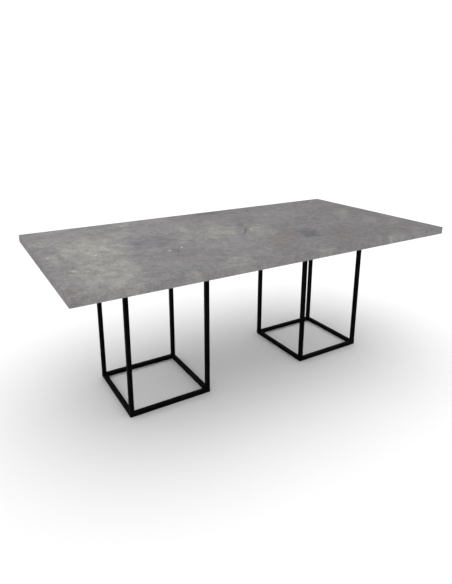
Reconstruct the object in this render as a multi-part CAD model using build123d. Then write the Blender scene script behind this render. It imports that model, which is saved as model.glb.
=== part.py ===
from build123d import *
import math
import os

# Extendable dining table: two half tops, each on its own cube frame base, slide apart on
# telescopic rails, and a folded leaf is stored under the top, between the bases.
# Millimetres. +X along the table, +Y across it, +Z up. The origin is on the floor, in the middle.

# ---------------------------------------------------------------- Table top
top_length = 2000.0         # both halves, closed
top_width = 1000.0
top_height = 750.0          # floor to the upper face
top_thick = 36.0
band_thick = 2.0            # edge banding round each board
seam_gap = 0.3              # hairline between boards that meet

# ---------------------------------------------------------------- Cube frame bases
base_side = 420.0           # outer side of the square, seen from above
tube_side = 20.0
tube_wall = 1.5
tube_radius = 1.5           # rounding of the tube's outer edges
plate_side = 60.0           # corner mounting plate
plate_thick = 4.0
plate_cut = 25.0            # chamfer on the plate's free corner
glide_head_radius = 9.0
glide_head_thick = 1.5
glide_stem_radius = 4.0
glide_stem_length = 10.0
glide_inset = 50.0          # from the frame's corner to the glide

# ---------------------------------------------------------------- Telescopic rails
bar_width = 22.0            # rectangular steel tube that joins the halves
bar_height = 28.0
bar_wall = 2.0
guide_room = 3.5            # between the bar and the channel, all round
rail_wall = 2.5             # aluminium channel
rail_slot = 12.0            # height of the slot that faces the middle
rail_flange = 20.0          # screw flange on the outer side
rail_mouth = 40.0           # from the middle of the table to the channel's end
rail_set_back = 160.0       # from the channel's far end to the table's end
guide_length = 40.0
guide_cap = 3.0             # closed end of the guide on the bar
bar_overlap = 270.0         # bar left in each channel when the table is open
stop_length = 20.0
stop_thick = 2.9
rail_screws = 5             # in each channel's flange
rail_screw_inset = 30.0

# ---------------------------------------------------------------- Folding leaf and its shelf
leaf_side_gap = 40.0        # from the stored leaf to each base
leaf_room = 4.5             # from the stored leaf up to the top's underside
fold_gap = 5.0              # between the leaf's two folded boards
hinge_radius = 2.4
hinge_pin_radius = 1.25
hinge_plate_thick = 1.6
hinge_length = 50.0
hinge_reach = 30.0
hinge_screw_inset = 18.0    # from the fold line to the screws
hinge_inset = 50.0          # from the leaf's end to the outer hinges
knuckle_gap = 0.2
pad_thick = 1.5
pad_size = 60.0
pad_width = 23.0
pad_inset = 90.0           # from the leaf's long edge to the pad's middle
strap_width = 25.0
strap_thick = 4.0
strap_bend = 6.0            # outer bend radius
strap_inset = 100.0         # from the leaf's end to the strap
strap_side_gap = 3.0        # from the leaf to the strap's leg
strap_rail_gap = 11.0       # from the strap's leg to the channel
spacer_radius = 5.0

# ---------------------------------------------------------------- Boards' alignment
dowel_radius = 4.0
dowel_out = 18.0
dowel_in = 25.0
dowel_inner = 150.0         # from the centre line to the inner dowels
dowel_lock_gap = 47.0       # from the lock's pin back to the outer dowels
bush_radius = 6.0
bush_length = 24.0
bush_end = 1.0              # closed end

# ---------------------------------------------------------------- Rack and pinion
gear_module = 2.0
gear_teeth = 16
gear_width = 12.0
gear_angle = math.radians(20)
gear_backlash = 0.3
flank_steps = 5             # straight stretches in a tooth's curved flank
rack_back = 11.5            # solid bar behind the teeth's roots
rack_flange_gap = 8.0       # from the channel's flange to the first rack
rack_drop = 8.0             # spacer between the rack and the underside
rack_fixed = 290.0          # from the middle to the rack's fixed end
rack_spare = 20.0           # toothed length past the pinion at each limit
rack_screw_inset = 20.0
packer_inset = 5.0          # from the rack's ends to the packer's
packer_side_inset = 1.0
bracket_half = 28.0
bracket_thick = 4.0
bracket_corner = 6.0
bracket_screw_inset = 10.0
axle_radius = 4.0
axle_head_radius = 7.0
axle_head_height = 2.5
axle_end = 2.0              # past the clip
groove_depth = 0.8
clip_thick = 0.7
clip_gap = 0.35             # from the pinion's top to its clip
hub_radius = 10.0

# ---------------------------------------------------------------- Top locks
lock_reach = 40.0           # from the hook's pivot to the stud
lock_width = 20.0
lock_thick = 3.0
lock_handle = 50.0
lock_handle_width = 14.0
lock_tab = 14.0
lock_tab_thick = 2.5
lock_drop = 6.0             # from the underside down to the hook
lock_rack_gap = 4.5
lock_pin_radius = 3.0
lock_head_radius = 6.0
lock_head_height = 3.0
lock_play = 0.1             # between the hook and its pin's collar and head

# ---------------------------------------------------------------- Fasteners and fits
bolt_radius = 3.0
bolt_head_radius = 6.0
bolt_head_height = 4.0
bolt_socket_radius = 2.3
bolt_socket_depth = 2.2
bolt_grip = 16.0            # length inside the top
washer_radius = 9.0
washer_thick = 1.6
insert_radius = 5.0
insert_length = 15.0
screw_radius = 2.0
screw_head_radius = 3.6
screw_head_height = 2.4
screw_grip = 20.0
screw_tip_radius = 0.2
recess_length = 4.0         # cross recess in a screw's head
recess_width = 0.9
recess_depth = 1.1
nut_radius = 4.0            # across corners
nut_height = 3.2
nut_shank = 6.0             # screw left past the wall that the nut is on
hinge_screw_radius = 1.5
hinge_screw_grip = 16.0
spare = 1.0                 # how far a cutter runs past the face that it opens
hole_gap = 0.3              # clearance hole round a screw, radial
thread_gap = 0.05           # threads and pressed pieces, radial
running_gap = 0.05          # shafts, radial
slide_gap = 0.3             # sliding faces

# ---------------------------------------------------------------- Places worked out from those
under_top = top_height - top_thick
base_centre = top_length / 4                    # each base stands under the middle of its half
base_half = base_side / 2
base_inner = base_half - tube_side
tube_bottom = glide_head_thick
slide_travel = base_centre - base_half - leaf_side_gap
leaf_length = 2 * slide_travel - seam_gap
leaf_half = leaf_length / 2
fold_y = top_width / 4                          # the leaf's fold line, when it is folded

rail_width = bar_width + 2 * (guide_room + rail_wall)
rail_height = bar_height + 2 * (guide_room + rail_wall)
rail_near = fold_y + strap_side_gap + strap_thick + strap_rail_gap
rail_far = rail_near + rail_width
rail_bottom = under_top - rail_height
rail_end = top_length / 2 - rail_set_back
rail_mid_z = under_top - rail_height / 2
bar_near = rail_near + rail_wall + guide_room
bar_far = bar_near + bar_width
bar_mid_y = (bar_near + bar_far) / 2
bar_bottom = rail_mid_z - bar_height / 2
bar_top = rail_mid_z + bar_height / 2
bar_end = rail_mouth + slide_travel + bar_overlap
stop_face = bar_end - guide_length - slide_travel - slide_gap

upper_leaf_z = under_top - leaf_room - top_thick
lower_leaf_z = upper_leaf_z - fold_gap - top_thick
strap_top = lower_leaf_z - pad_thick
strap_bottom = strap_top - strap_thick
strap_x = leaf_half - strap_inset
strap_inside = fold_y + strap_side_gap
strap_outside = strap_inside + strap_thick

gear_radius = gear_module * gear_teeth / 2
gear_pitch = math.pi * gear_module
gear_root = 1.25 * gear_module
rack_y = rail_far + rail_flange + rack_flange_gap
rack_pitch_y = rack_y + rack_back + gear_root
pinion_y = rack_pitch_y + gear_radius
rack_top = under_top - rack_drop
rack_bottom = rack_top - gear_width
rack_far = 2 * pinion_y - rack_y
bracket_top = bar_bottom
clip_z = rack_top + clip_gap

lock_x = lock_reach / 2
lock_y = rack_far + lock_handle + lock_tab_thick + lock_rack_gap
lock_top = under_top - lock_drop

dowel_places = [dowel_inner, lock_y - dowel_lock_gap]
top_seam = seam_gap / 2


# ---------------------------------------------------------------- Helpers
def block(x0, x1, y0, y1, z0, z1):
    """A block between two opposite corners."""
    centre = Pos((x0 + x1) / 2, (y0 + y1) / 2, (z0 + z1) / 2)
    return centre * Box(abs(x1 - x0), abs(y1 - y0), abs(z1 - z0))


def upright(x, y, z0, z1, radius):
    """A round bar along Z."""
    return Pos(x, y, (z0 + z1) / 2) * Cylinder(radius, abs(z1 - z0))


def along_x(x0, x1, y, z, radius):
    """A round bar along X."""
    return Pos((x0 + x1) / 2, y, z) * Rot(0, 90, 0) * Cylinder(radius, abs(x1 - x0))


def along_y(x, y0, y1, z, radius):
    """A round bar along Y."""
    return Pos(x, (y0 + y1) / 2, z) * Rot(90, 0, 0) * Cylinder(radius, abs(y1 - y0))


def flipped(solids, plane):
    """Mirror images of a list of solids."""
    return [mirror(solid, about=plane) for solid in solids]


def both_sides(solids):
    """The solids and their mirror images across the table's long middle plane."""
    return solids + flipped(solids, Plane.XZ)


def save(name, solids):
    """Write one sub-part, with each of its pieces as its own solid."""
    pieces = [piece for solid in solids for piece in solid.solids()]
    export_step(Compound(children=pieces), f"parts/{name}.step")


def pan_head(x, y, seat_z):
    """A rounded screw head that hangs under seat_z, with a cross recess."""
    low = seat_z - screw_head_height
    head = upright(x, y, low, seat_z, screw_head_radius)
    head = fillet(head.edges().group_by(Axis.Z)[0], screw_head_height / 3)
    recess = Box(recess_width, recess_length, 2 * recess_depth)
    recess += Box(recess_length, recess_width, 2 * recess_depth)
    return head - Pos(x, y, low) * recess


def wood_screw(x, y, seat_z):
    """A screw that points up: its head hangs under seat_z and its point is in the board above."""
    point_z = under_top + screw_grip
    shank = upright(x, y, seat_z, point_z - screw_radius, screw_radius)
    point = Pos(x, y, point_z - screw_radius / 2) * Cone(screw_radius, screw_tip_radius, screw_radius)
    return pan_head(x, y, seat_z) + shank + point


def screw_hole(x, y):
    """The hole in the board that a wood screw bites in."""
    return upright(x, y, under_top - spare, under_top + screw_grip + spare / 2, screw_radius + thread_gap)


def nut(across, height):
    """A hexagon nut on the origin, along Z, clear of its screw's thread."""
    body = extrude(RegularPolygon(across, 6), height)
    return body - Pos(0, 0, height / 2) * Cylinder(screw_radius + thread_gap, height + spare)


# ---------------------------------------------------------------- Cube frame base
def tube_section():
    """The square tube's section, with its walls."""
    bore = tube_side - 2 * tube_wall
    return RectangleRounded(tube_side, tube_side, tube_radius) - Rectangle(bore, bore)


def mitred_square(z):
    """Four tubes in a square with mitred corners, on the level z."""
    tube = Rot(0, 90, 0) * extrude(tube_section(), base_half, both=True)
    tube = Pos(0, tube_side / 2 - base_half, tube_side / 2) * tube
    corners = [(-base_half, -base_half), (base_half, -base_half),
               (base_inner, -base_inner), (-base_inner, -base_inner)]
    keep = extrude(make_face(Polyline(*corners, close=True)), tube_side)
    tube = tube & keep
    return [Pos(0, 0, z) * Rot(0, 0, 90 * turn) * tube for turn in range(4)]


def corners_of(inset):
    """The four places that lie inset from the base's sides."""
    reach = base_half - inset
    return [(-reach, -reach), (reach, -reach), (reach, reach), (-reach, reach)]


def glide_places():
    """One glide near each corner, under the front and back tubes."""
    x = base_half - glide_inset
    y = base_half - tube_side / 2
    return [(-x, -y), (x, -y), (x, y), (-x, y)]


def base_pieces():
    """One base, centred on the origin, as a dictionary of sub-parts."""
    top_frame_z = under_top - tube_side
    floor_frame = mitred_square(tube_bottom)
    holes = [upright(x, y, 0, tube_bottom + tube_wall + spare, glide_stem_radius + thread_gap)
             for x, y in glide_places()]
    floor_frame = [tube - holes for tube in floor_frame]

    post_length = top_frame_z - tube_bottom - tube_side
    post = extrude(tube_section(), post_length)
    posts = [Pos(x, y, tube_bottom + tube_side) * post for x, y in corners_of(tube_side / 2)]

    plate_middle = tube_side + plate_side / 2
    bolts_at = corners_of(plate_middle)
    plates = []
    for x, y in bolts_at:
        near = plate_side / 2
        plate = block(x - near, x + near, y - near, y + near, under_top - plate_thick, under_top)
        free_corner = plate.edges().filter_by(Axis.Z).sort_by_distance((0, 0, under_top))[0]
        plate = chamfer(free_corner, plate_cut)
        hole = upright(x, y, under_top - plate_thick - spare, under_top + spare, bolt_radius + hole_gap)
        plates.append(plate - hole)

    bolts = []
    inserts = []
    washer_top = under_top - plate_thick
    head_top = washer_top - washer_thick
    for x, y in bolts_at:
        washer = upright(x, y, head_top, washer_top, washer_radius)
        hole = upright(x, y, head_top - spare, washer_top + spare, bolt_radius + hole_gap)
        bolts.append(washer - hole)
        head = upright(x, y, head_top - bolt_head_height, head_top, bolt_head_radius)
        head = fillet(head.edges().group_by(Axis.Z)[0], bolt_head_height / 3)
        socket = RegularPolygon(bolt_socket_radius, 6)
        socket = Pos(x, y, head_top - bolt_head_height) * extrude(socket, bolt_socket_depth)
        bolts.append(head + upright(x, y, head_top, under_top + bolt_grip, bolt_radius) - socket)
        insert = upright(x, y, under_top, under_top + insert_length, insert_radius)
        bore = upright(x, y, under_top - spare, under_top + insert_length + spare, bolt_radius + thread_gap)
        inserts.append(insert - bore)

    glides = []
    for x, y in glide_places():
        head = upright(x, y, 0, glide_head_thick, glide_head_radius)
        head = chamfer(head.edges().group_by(Axis.Z)[0], glide_head_thick / 3)
        stem_top = glide_head_thick + glide_stem_length
        glides.append(head + upright(x, y, glide_head_thick, stem_top, glide_stem_radius))

    return {"floor_frame": floor_frame, "posts": posts, "top_frame": mitred_square(top_frame_z),
            "corner_plates": plates, "base_bolts": bolts, "threaded_inserts": inserts,
            "floor_glides": glides}


# ---------------------------------------------------------------- Boards
def board(x0, x1, y0, y1, z0):
    """A board's core, inside its edge banding."""
    return block(x0 + band_thick, x1 - band_thick, y0 + band_thick, y1 - band_thick, z0, z0 + top_thick)


def bands(x0, x1, y0, y1, z0):
    """The four strips of edge banding round a board: long ones cover the short ones' ends."""
    z1 = z0 + top_thick
    return [block(x0, x1, y0, y0 + band_thick, z0, z1),
            block(x0, x1, y1 - band_thick, y1, z0, z1),
            block(x0, x0 + band_thick, y0 + band_thick, y1 - band_thick, z0, z1),
            block(x1 - band_thick, x1, y0 + band_thick, y1 - band_thick, z0, z1)]


def dowel(edge_x, y, z):
    """A dowel that stands out of an edge that faces +X."""
    pin = along_x(edge_x - dowel_in, edge_x + dowel_out, y, z, dowel_radius)
    return chamfer(pin.edges().filter_by(GeomType.CIRCLE), dowel_radius / 4)


def dowel_hole(edge_x, y, z):
    """The glued end's hole."""
    return along_x(edge_x - dowel_in - spare, edge_x + spare, y, z, dowel_radius + thread_gap)


def bush(edge_x, y, z):
    """A flush sleeve in an edge that faces -X, for the neighbour's dowel."""
    sleeve = along_x(edge_x, edge_x + bush_length, y, z, bush_radius)
    return sleeve - along_x(edge_x - spare, edge_x + bush_length - bush_end, y, z, dowel_radius + slide_gap)


def bush_hole(edge_x, y, z):
    """The hole that holds a sleeve."""
    return along_x(edge_x - spare, edge_x + bush_length, y, z, bush_radius + thread_gap)


# ---------------------------------------------------------------- Rails, on the +X, +Y side
def channel():
    """A C-shaped channel with a screw flange: the slot faces the middle of the table."""
    x0, x1 = rail_mouth, rail_end
    shell = block(x0, x1, rail_near, rail_far, rail_bottom, under_top)
    shell -= block(x0 - spare, x1 + spare, rail_near + rail_wall, rail_far - rail_wall,
                   rail_bottom + rail_wall, under_top - rail_wall)
    slot_low = rail_mid_z - rail_slot / 2
    slot_high = rail_mid_z + rail_slot / 2
    shell -= block(x0 - spare, x1 + spare, rail_near - spare, rail_near + rail_wall + spare,
                   slot_low, slot_high)
    shell += block(x0, x1, rail_far, rail_far + rail_flange, under_top - rail_wall, under_top)
    for x in rail_screw_places():
        y = rail_far + rail_flange / 2
        shell -= upright(x, y, under_top - rail_wall - spare, under_top + spare, screw_radius + hole_gap)
    shell -= upright(stop_middle(), bar_mid_y, rail_bottom - spare, rail_bottom + rail_wall + spare,
                     screw_radius + thread_gap)
    return shell


def rail_screw_places():
    """Evenly spaced along the flange."""
    first = rail_mouth + rail_screw_inset
    step = (rail_end - rail_screw_inset - first) / (rail_screws - 1)
    return [first + step * place for place in range(rail_screws)]


def stop_middle():
    """Where the open-limit stop is screwed to the channel."""
    return stop_face - stop_length / 2


def mouth_guide():
    """A nylon lining in the channel's mouth: the bar slides in it, the spacers pass its slot."""
    x0, x1 = rail_mouth, rail_mouth + guide_length
    lining = block(x0, x1, rail_near + rail_wall, rail_far - rail_wall,
                   rail_bottom + rail_wall, under_top - rail_wall)
    lining -= block(x0 - spare, x1 + spare, bar_near - slide_gap, bar_far + slide_gap,
                    bar_bottom - slide_gap, bar_top + slide_gap)
    lining -= block(x0 - spare, x1 + spare, rail_near, bar_near, rail_mid_z - rail_slot / 2,
                    rail_mid_z + rail_slot / 2)
    return lining


def slide_stop():
    """A block on the channel's floor that meets the bar's guide when the table is open."""
    floor_z = rail_bottom + rail_wall
    stop = block(stop_face - stop_length, stop_face, bar_near, bar_far, floor_z, floor_z + stop_thick)
    stop -= upright(stop_middle(), bar_mid_y, floor_z - spare, floor_z + stop_thick + spare,
                    screw_radius + thread_gap)
    shank = upright(stop_middle(), bar_mid_y, rail_bottom, floor_z + stop_thick, screw_radius)
    return [stop, pan_head(stop_middle(), bar_mid_y, rail_bottom) + shank]


def slide_bar():
    """The rectangular tube that runs through both channels on the +Y side."""
    x = bar_end - guide_cap
    bar = block(-x, x, bar_near, bar_far, bar_bottom, bar_top)
    bar = fillet(bar.edges().filter_by(Axis.X), bar_wall / 2)
    bar -= block(-x - spare, x + spare, bar_near + bar_wall, bar_far - bar_wall,
                 bar_bottom + bar_wall, bar_top - bar_wall)
    for side in (-1, 1):
        bar -= along_y(side * strap_x, bar_near - spare, bar_near + bar_wall + spare, rail_mid_z,
                       screw_radius + thread_gap)
    return bar


def tail_guide():
    """A nylon cap on the bar's end, a sliding fit in the channel."""
    x0, x1 = bar_end - guide_length, bar_end
    room = guide_room - slide_gap
    cap = block(x0, x1, bar_near - room, bar_far + room, bar_bottom - room, bar_top + room)
    cap = chamfer(cap.edges().filter_by(Axis.X), room / 3)
    socket = block(x0 - spare, x1 - guide_cap, bar_near, bar_far, bar_bottom, bar_top)
    return cap - socket


# ---------------------------------------------------------------- Rack and pinion
def rack():
    """The left half's rack: its teeth face +Y, and it lies past the pinion on the +X side."""
    tooth_half = (gear_pitch / 2 - gear_backlash) / 2
    lean = math.tan(gear_angle)
    root_half = tooth_half + gear_root * lean
    tip_half = tooth_half - gear_module * lean
    root_y = rack_pitch_y - gear_root
    free_end = slide_travel + rack_spare
    bar = block(-rack_fixed, free_end, rack_y, root_y, rack_bottom, rack_top)
    first = math.ceil(-rack_spare / gear_pitch)
    last = math.floor(free_end / gear_pitch)
    profile = [(-root_half, -spare), (-root_half, 0), (-tip_half, gear_root + gear_module),
               (tip_half, gear_root + gear_module), (root_half, 0), (root_half, -spare)]
    tooth = extrude(make_face(Polyline(*profile, close=True)), gear_width)
    teeth = [Pos((index + 0.5) * gear_pitch, root_y, rack_bottom) * tooth for index in range(first, last)]
    bar = bar + teeth
    for x in rack_screw_places():
        bar -= upright(x, rack_screw_y(), rack_bottom - spare, rack_top + spare, screw_radius + hole_gap)
    return bar


def rack_screw_places():
    """Three screws along the rack's fixed end."""
    first = -rack_fixed + rack_screw_inset
    last = -rack_spare - rack_screw_inset
    return [first, (first + last) / 2, last]


def rack_screw_y():
    """The screws pass the middle of the rack's solid bar."""
    return rack_y + rack_back / 2


def rack_spacer():
    """A wooden packer between the rack's fixed end and the underside."""
    packer = block(-rack_fixed + packer_inset, -rack_spare - packer_inset, rack_y + packer_side_inset,
                   rack_y + rack_back - packer_side_inset, rack_top, under_top)
    for x in rack_screw_places():
        packer -= upright(x, rack_screw_y(), rack_top - spare, under_top + spare, screw_radius + hole_gap)
    return packer


def pinion():
    """An involute gear with a long hub; one tooth points straight at each rack."""
    base_radius = gear_radius * math.cos(gear_angle)
    tip_radius = gear_radius + gear_module
    root_radius = gear_radius - gear_root
    half_at_base = math.pi / (2 * gear_teeth) + math.tan(gear_angle) - gear_angle
    flank = []
    for step in range(flank_steps + 1):
        radius = base_radius + (tip_radius - base_radius) * step / flank_steps
        turn = math.acos(min(1.0, base_radius / radius))
        half = half_at_base - (math.tan(turn) - turn)
        flank.append((radius * math.cos(half), radius * math.sin(half)))
    foot = root_radius - spare
    foot_edge = (foot * math.cos(half_at_base), foot * math.sin(half_at_base))
    one_side = [foot_edge] + flank
    other_side = [(x, -y) for x, y in reversed(one_side)]
    tooth = extrude(make_face(Polyline(*one_side, *other_side, close=True)), gear_width)
    gear = Pos(0, 0, gear_width / 2) * Cylinder(root_radius, gear_width)
    gear += [Rot(0, 0, 360 / gear_teeth * index) * tooth for index in range(gear_teeth)]
    gear = Pos(0, pinion_y, rack_bottom) * gear
    gear += upright(0, pinion_y, bracket_top + 2 * running_gap, rack_bottom, hub_radius)
    return gear - upright(0, pinion_y, bracket_top, rack_top + spare, axle_radius + running_gap)


def pinion_bracket():
    """A plate under the back bar that carries the pinion's axle."""
    far = pinion_y + hub_radius + bracket_corner
    plate = block(-bracket_half, bracket_half, bar_near, far, bracket_top - bracket_thick, bracket_top)
    plate = fillet(plate.edges().filter_by(Axis.Z), bracket_corner)
    low = bracket_top - bracket_thick - spare
    plate -= upright(0, pinion_y, low, bracket_top + spare, axle_radius + thread_gap)
    for x in bracket_screw_places():
        plate -= upright(x, bar_mid_y, low, bracket_top + spare, screw_radius + hole_gap)
    return plate


def bracket_screw_places():
    """Two screws up into the bar."""
    return [-bracket_half + bracket_screw_inset, bracket_half - bracket_screw_inset]


def axle():
    """A headed pin with a groove for its clip."""
    low = bracket_top - bracket_thick
    head = upright(0, pinion_y, low - axle_head_height, low, axle_head_radius)
    pin = head + upright(0, pinion_y, low, clip_z + clip_thick + axle_end, axle_radius)
    pin = chamfer(pin.edges().group_by(Axis.Z)[-1], groove_depth)
    groove_z = clip_z - thread_gap
    groove_top = clip_z + clip_thick + thread_gap
    groove = upright(0, pinion_y, groove_z, groove_top, axle_radius + spare)
    groove -= upright(0, pinion_y, groove_z, groove_top, axle_radius - groove_depth)
    return pin - groove


def axle_clip():
    """A spring clip in the axle's groove."""
    clip_top = clip_z + clip_thick
    ring = upright(0, pinion_y, clip_z, clip_top, axle_head_radius)
    ring -= upright(0, pinion_y, clip_z - spare, clip_top + spare, axle_radius - groove_depth + thread_gap)
    mouth = axle_radius - groove_depth / 2
    return ring - block(-mouth, mouth, pinion_y, pinion_y + axle_head_radius + spare,
                        clip_z - spare, clip_top + spare)


# ---------------------------------------------------------------- Top locks, on the +Y side
def lock_hook():
    """The hook unlocked: its arm points to the middle, its finger arm to -X."""
    z0 = lock_top - lock_thick
    plate = Cylinder(lock_width / 2, lock_thick)
    plate += Pos(0, -lock_reach / 2, 0) * Box(lock_width, lock_reach, lock_thick)
    plate += Pos(0, -lock_reach, 0) * Cylinder(lock_width / 2, lock_thick)
    plate += Pos(-lock_handle / 2, 0, 0) * Box(lock_handle, lock_handle_width, lock_thick)
    tab = Pos(-lock_handle - lock_tab_thick / 2, 0, (lock_thick - lock_tab) / 2)
    plate += tab * Box(lock_tab_thick, lock_handle_width, lock_tab)
    slot = lock_pin_radius + slide_gap
    deep = 2 * lock_thick
    way_in = Cylinder(lock_reach + slot, deep) - Cylinder(lock_reach - slot, deep)
    way_in &= Pos(lock_reach / 2, -lock_reach, 0) * Box(lock_reach, lock_reach, deep)
    plate -= way_in
    plate -= Pos(0, -lock_reach, 0) * Cylinder(slot, deep)
    plate -= Cylinder(lock_pin_radius + running_gap, deep)
    return Pos(-lock_x, lock_y, z0 + lock_thick / 2) * plate


def lock_pin(x):
    """A shoulder screw with a collar above the hook and a head below it."""
    collar_z = lock_top + lock_play
    head_top = lock_top - lock_thick - lock_play
    head_low = head_top - lock_head_height
    collar = upright(x, lock_y, collar_z, under_top, lock_head_radius)
    shoulder = upright(x, lock_y, head_top, collar_z, lock_pin_radius)
    head = upright(x, lock_y, head_low, head_top, lock_head_radius)
    head = chamfer(head.edges().group_by(Axis.Z)[0], lock_head_height / 4)
    slot = Pos(x, lock_y, head_low) * Box(3 * lock_head_radius, recess_width, 2 * recess_depth)
    thread = upright(x, lock_y, under_top, under_top + screw_grip, screw_radius)
    return collar + shoulder + head + thread - slot


# ---------------------------------------------------------------- One half of the top
def half_board(side, rack_points):
    """A half top's board with its holes. side is -1 on the left and 1 on the right."""
    x0, x1 = sorted((side * top_seam, side * top_length / 2))
    y = top_width / 2
    cuts = [upright(side * base_centre + dx, dy, under_top - spare, under_top + bolt_grip + spare,
                    insert_radius + thread_gap)
            for dx, dy in corners_of(tube_side + plate_side / 2)]
    flange_y = rail_far + rail_flange / 2
    for x in rail_screw_places():
        cuts += [screw_hole(side * x, sign * flange_y) for sign in (-1, 1)]
    cuts += [screw_hole(x, y_at) for x, y_at in rack_points]
    cuts += [screw_hole(side * lock_x, sign * lock_y) for sign in (-1, 1)]
    middle_z = under_top + top_thick / 2
    for place in dowel_places:
        for sign in (-1, 1):
            if side < 0:
                cuts.append(dowel_hole(-top_seam, sign * place, middle_z))
            else:
                cuts.append(bush_hole(top_seam, sign * place, middle_z))
    core = board(x0, x1, -y, y, under_top) - cuts
    edges = [band - cuts for band in bands(x0, x1, -y, y, under_top)]
    return core, edges


def half_rack(side):
    """The rack, its packer and its screws' places, turned about the pinion for the right half."""
    turned = Pos(0, pinion_y, 0) * Rot(0, 0, 180) * Pos(0, -pinion_y, 0)
    points = [(x, rack_screw_y()) for x in rack_screw_places()]
    if side < 0:
        return rack(), rack_spacer(), points
    points = [(-x, 2 * pinion_y - y) for x, y in points]
    return turned * rack(), turned * rack_spacer(), points


def save_half(name, side):
    """Write every sub-part of one half of the table."""
    toothed_rack, packer, rack_points = half_rack(side)
    core, edges = half_board(side, rack_points)
    save(f"{name}_top_panel", [core])
    save(f"{name}_edge_bands", edges)

    rail, mouth, stops = channel(), mouth_guide(), slide_stop()
    flange_y = rail_far + rail_flange / 2
    flange_z = under_top - rail_wall
    screws = [wood_screw(x, flange_y, flange_z) for x in rail_screw_places()]
    rack_screws = [wood_screw(x, y, rack_bottom) for x, y in rack_points]
    if side < 0:
        rail, mouth = flipped([rail, mouth], Plane.YZ)
        stops, screws = flipped(stops, Plane.YZ), flipped(screws, Plane.YZ)
    save(f"{name}_back_channel", [rail])
    save(f"{name}_front_channel", flipped([rail], Plane.XZ))
    save(f"{name}_mouth_guides", both_sides([mouth]))
    save(f"{name}_slide_stops", both_sides(stops))
    save(f"{name}_wood_screws", both_sides(screws) + rack_screws)
    save(f"{name}_rack", [toothed_rack])
    save(f"{name}_rack_packer", [packer])
    save(f"{name}_lock_pins", both_sides([lock_pin(side * lock_x)]))

    for part, solids in base_pieces().items():
        save(f"{name}_{part}", [Pos(side * base_centre, 0, 0) * solid for solid in solids])


os.makedirs("parts", exist_ok=True)
save_half("left", -1)
save_half("right", 1)

# ---------------------------------------------------------------- Dowels between the halves
half_z = under_top + top_thick / 2
save("left_dowels", both_sides([dowel(-top_seam, place, half_z) for place in dowel_places]))
save("right_dowel_bushes", both_sides([bush(top_seam, place, half_z) for place in dowel_places]))

# ---------------------------------------------------------------- Locks and pinion
save("back_lock_hook", [lock_hook()])
save("front_lock_hook", flipped([lock_hook()], Plane.XZ))
save("sync_pinion", [pinion()])

# ---------------------------------------------------------------- Carriage: bars and bracket
inside_bar = bar_bottom + bar_wall
bracket_holes = [upright(x, bar_mid_y, bar_bottom - spare, inside_bar + spare, screw_radius + thread_gap)
                 for x in bracket_screw_places()]
save("back_slide_bar", [slide_bar() - bracket_holes])
save("front_slide_bar", flipped([slide_bar()], Plane.XZ))
tails = both_sides([tail_guide()])
save("bar_tail_guides", tails + flipped(tails, Plane.YZ))
save("pinion_bracket", [pinion_bracket()])
save("pinion_axle", [axle()])
save("axle_clip", [axle_clip()])

bracket_screws = []
for x in bracket_screw_places():
    seat_z = bracket_top - bracket_thick
    shank = upright(x, bar_mid_y, seat_z, inside_bar + nut_shank, screw_radius)
    bracket_screws.append(pan_head(x, bar_mid_y, seat_z) + shank)
    bracket_screws.append(Pos(x, bar_mid_y, inside_bar) * nut(nut_radius, nut_height))
save("bracket_screws", bracket_screws)


# ---------------------------------------------------------------- Carriage: shelf for the leaf
def strap(x):
    """A flat steel strap bent to a U, with countersunk holes in its legs."""
    leg_top = rail_mid_z + strap_width / 3
    x0, x1 = x - strap_width / 2, x + strap_width / 2
    outer = block(x0, x1, -strap_outside, strap_outside, strap_bottom, leg_top)
    low = outer.edges().filter_by(Axis.X).group_by(Axis.Z)[0]
    outer = fillet(low, strap_bend)
    inner = block(x0 - spare, x1 + spare, -strap_inside, strap_inside, strap_top, leg_top + spare)
    low = inner.edges().filter_by(Axis.X).group_by(Axis.Z)[0]
    inner = fillet(low, strap_bend - strap_thick)
    hole = along_y(x, -strap_outside - spare, strap_outside + spare, rail_mid_z, screw_radius + hole_gap)
    sink = Pos(x, strap_inside + screw_radius / 2, rail_mid_z) * Rot(90, 0, 0)
    sink = sink * Cone(screw_radius + hole_gap, 2 * screw_radius + hole_gap, screw_radius)
    return outer - inner - hole - sink - mirror(sink, about=Plane.XZ)


def strap_fixing(x):
    """A countersunk screw, the spacer that passes the channel's slot, and the nut in the bar."""
    sunk = Pos(x, strap_inside + screw_radius / 2, rail_mid_z) * Rot(90, 0, 0)
    sunk = sunk * Cone(screw_radius, 2 * screw_radius, screw_radius)
    nut_y = bar_near + bar_wall
    shank = along_y(x, strap_inside + screw_radius, nut_y + nut_shank, rail_mid_z, screw_radius)
    socket = along_y(x, strap_inside - spare, strap_inside + spare, rail_mid_z, screw_radius / 2)
    spacer = along_y(x, strap_outside, bar_near, rail_mid_z, spacer_radius)
    spacer -= along_y(x, strap_outside - spare, bar_near + spare, rail_mid_z, screw_radius + hole_gap)
    bar_nut = Pos(x, nut_y, rail_mid_z) * Rot(-90, 0, 0) * nut(nut_radius, nut_height)
    return [sunk + shank - socket, spacer, bar_nut]


save("shelf_straps", [strap(-strap_x), strap(strap_x)])
fixings = both_sides(strap_fixing(-strap_x) + strap_fixing(strap_x))
save("strap_fixings", fixings)

pad_y = fold_y - pad_inset
pad_half = pad_width / 2
pads = [block(x - pad_half, x + pad_half, pad_y - pad_size / 2, pad_y + pad_size / 2,
               strap_top, lower_leaf_z) for x in (-strap_x, strap_x)]
save("shelf_pads", both_sides(pads))

# ---------------------------------------------------------------- Carriage: the folded leaf
leaf_near_y = -fold_y
leaf_far_y = fold_y - top_seam
hinge_z = upper_leaf_z - fold_gap / 2
hinge_places = [-leaf_half + hinge_inset, 0, leaf_half - hinge_inset]
knuckle = (hinge_length - 2 * knuckle_gap) / 3
hinge_screw_y = fold_y - hinge_screw_inset


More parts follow.
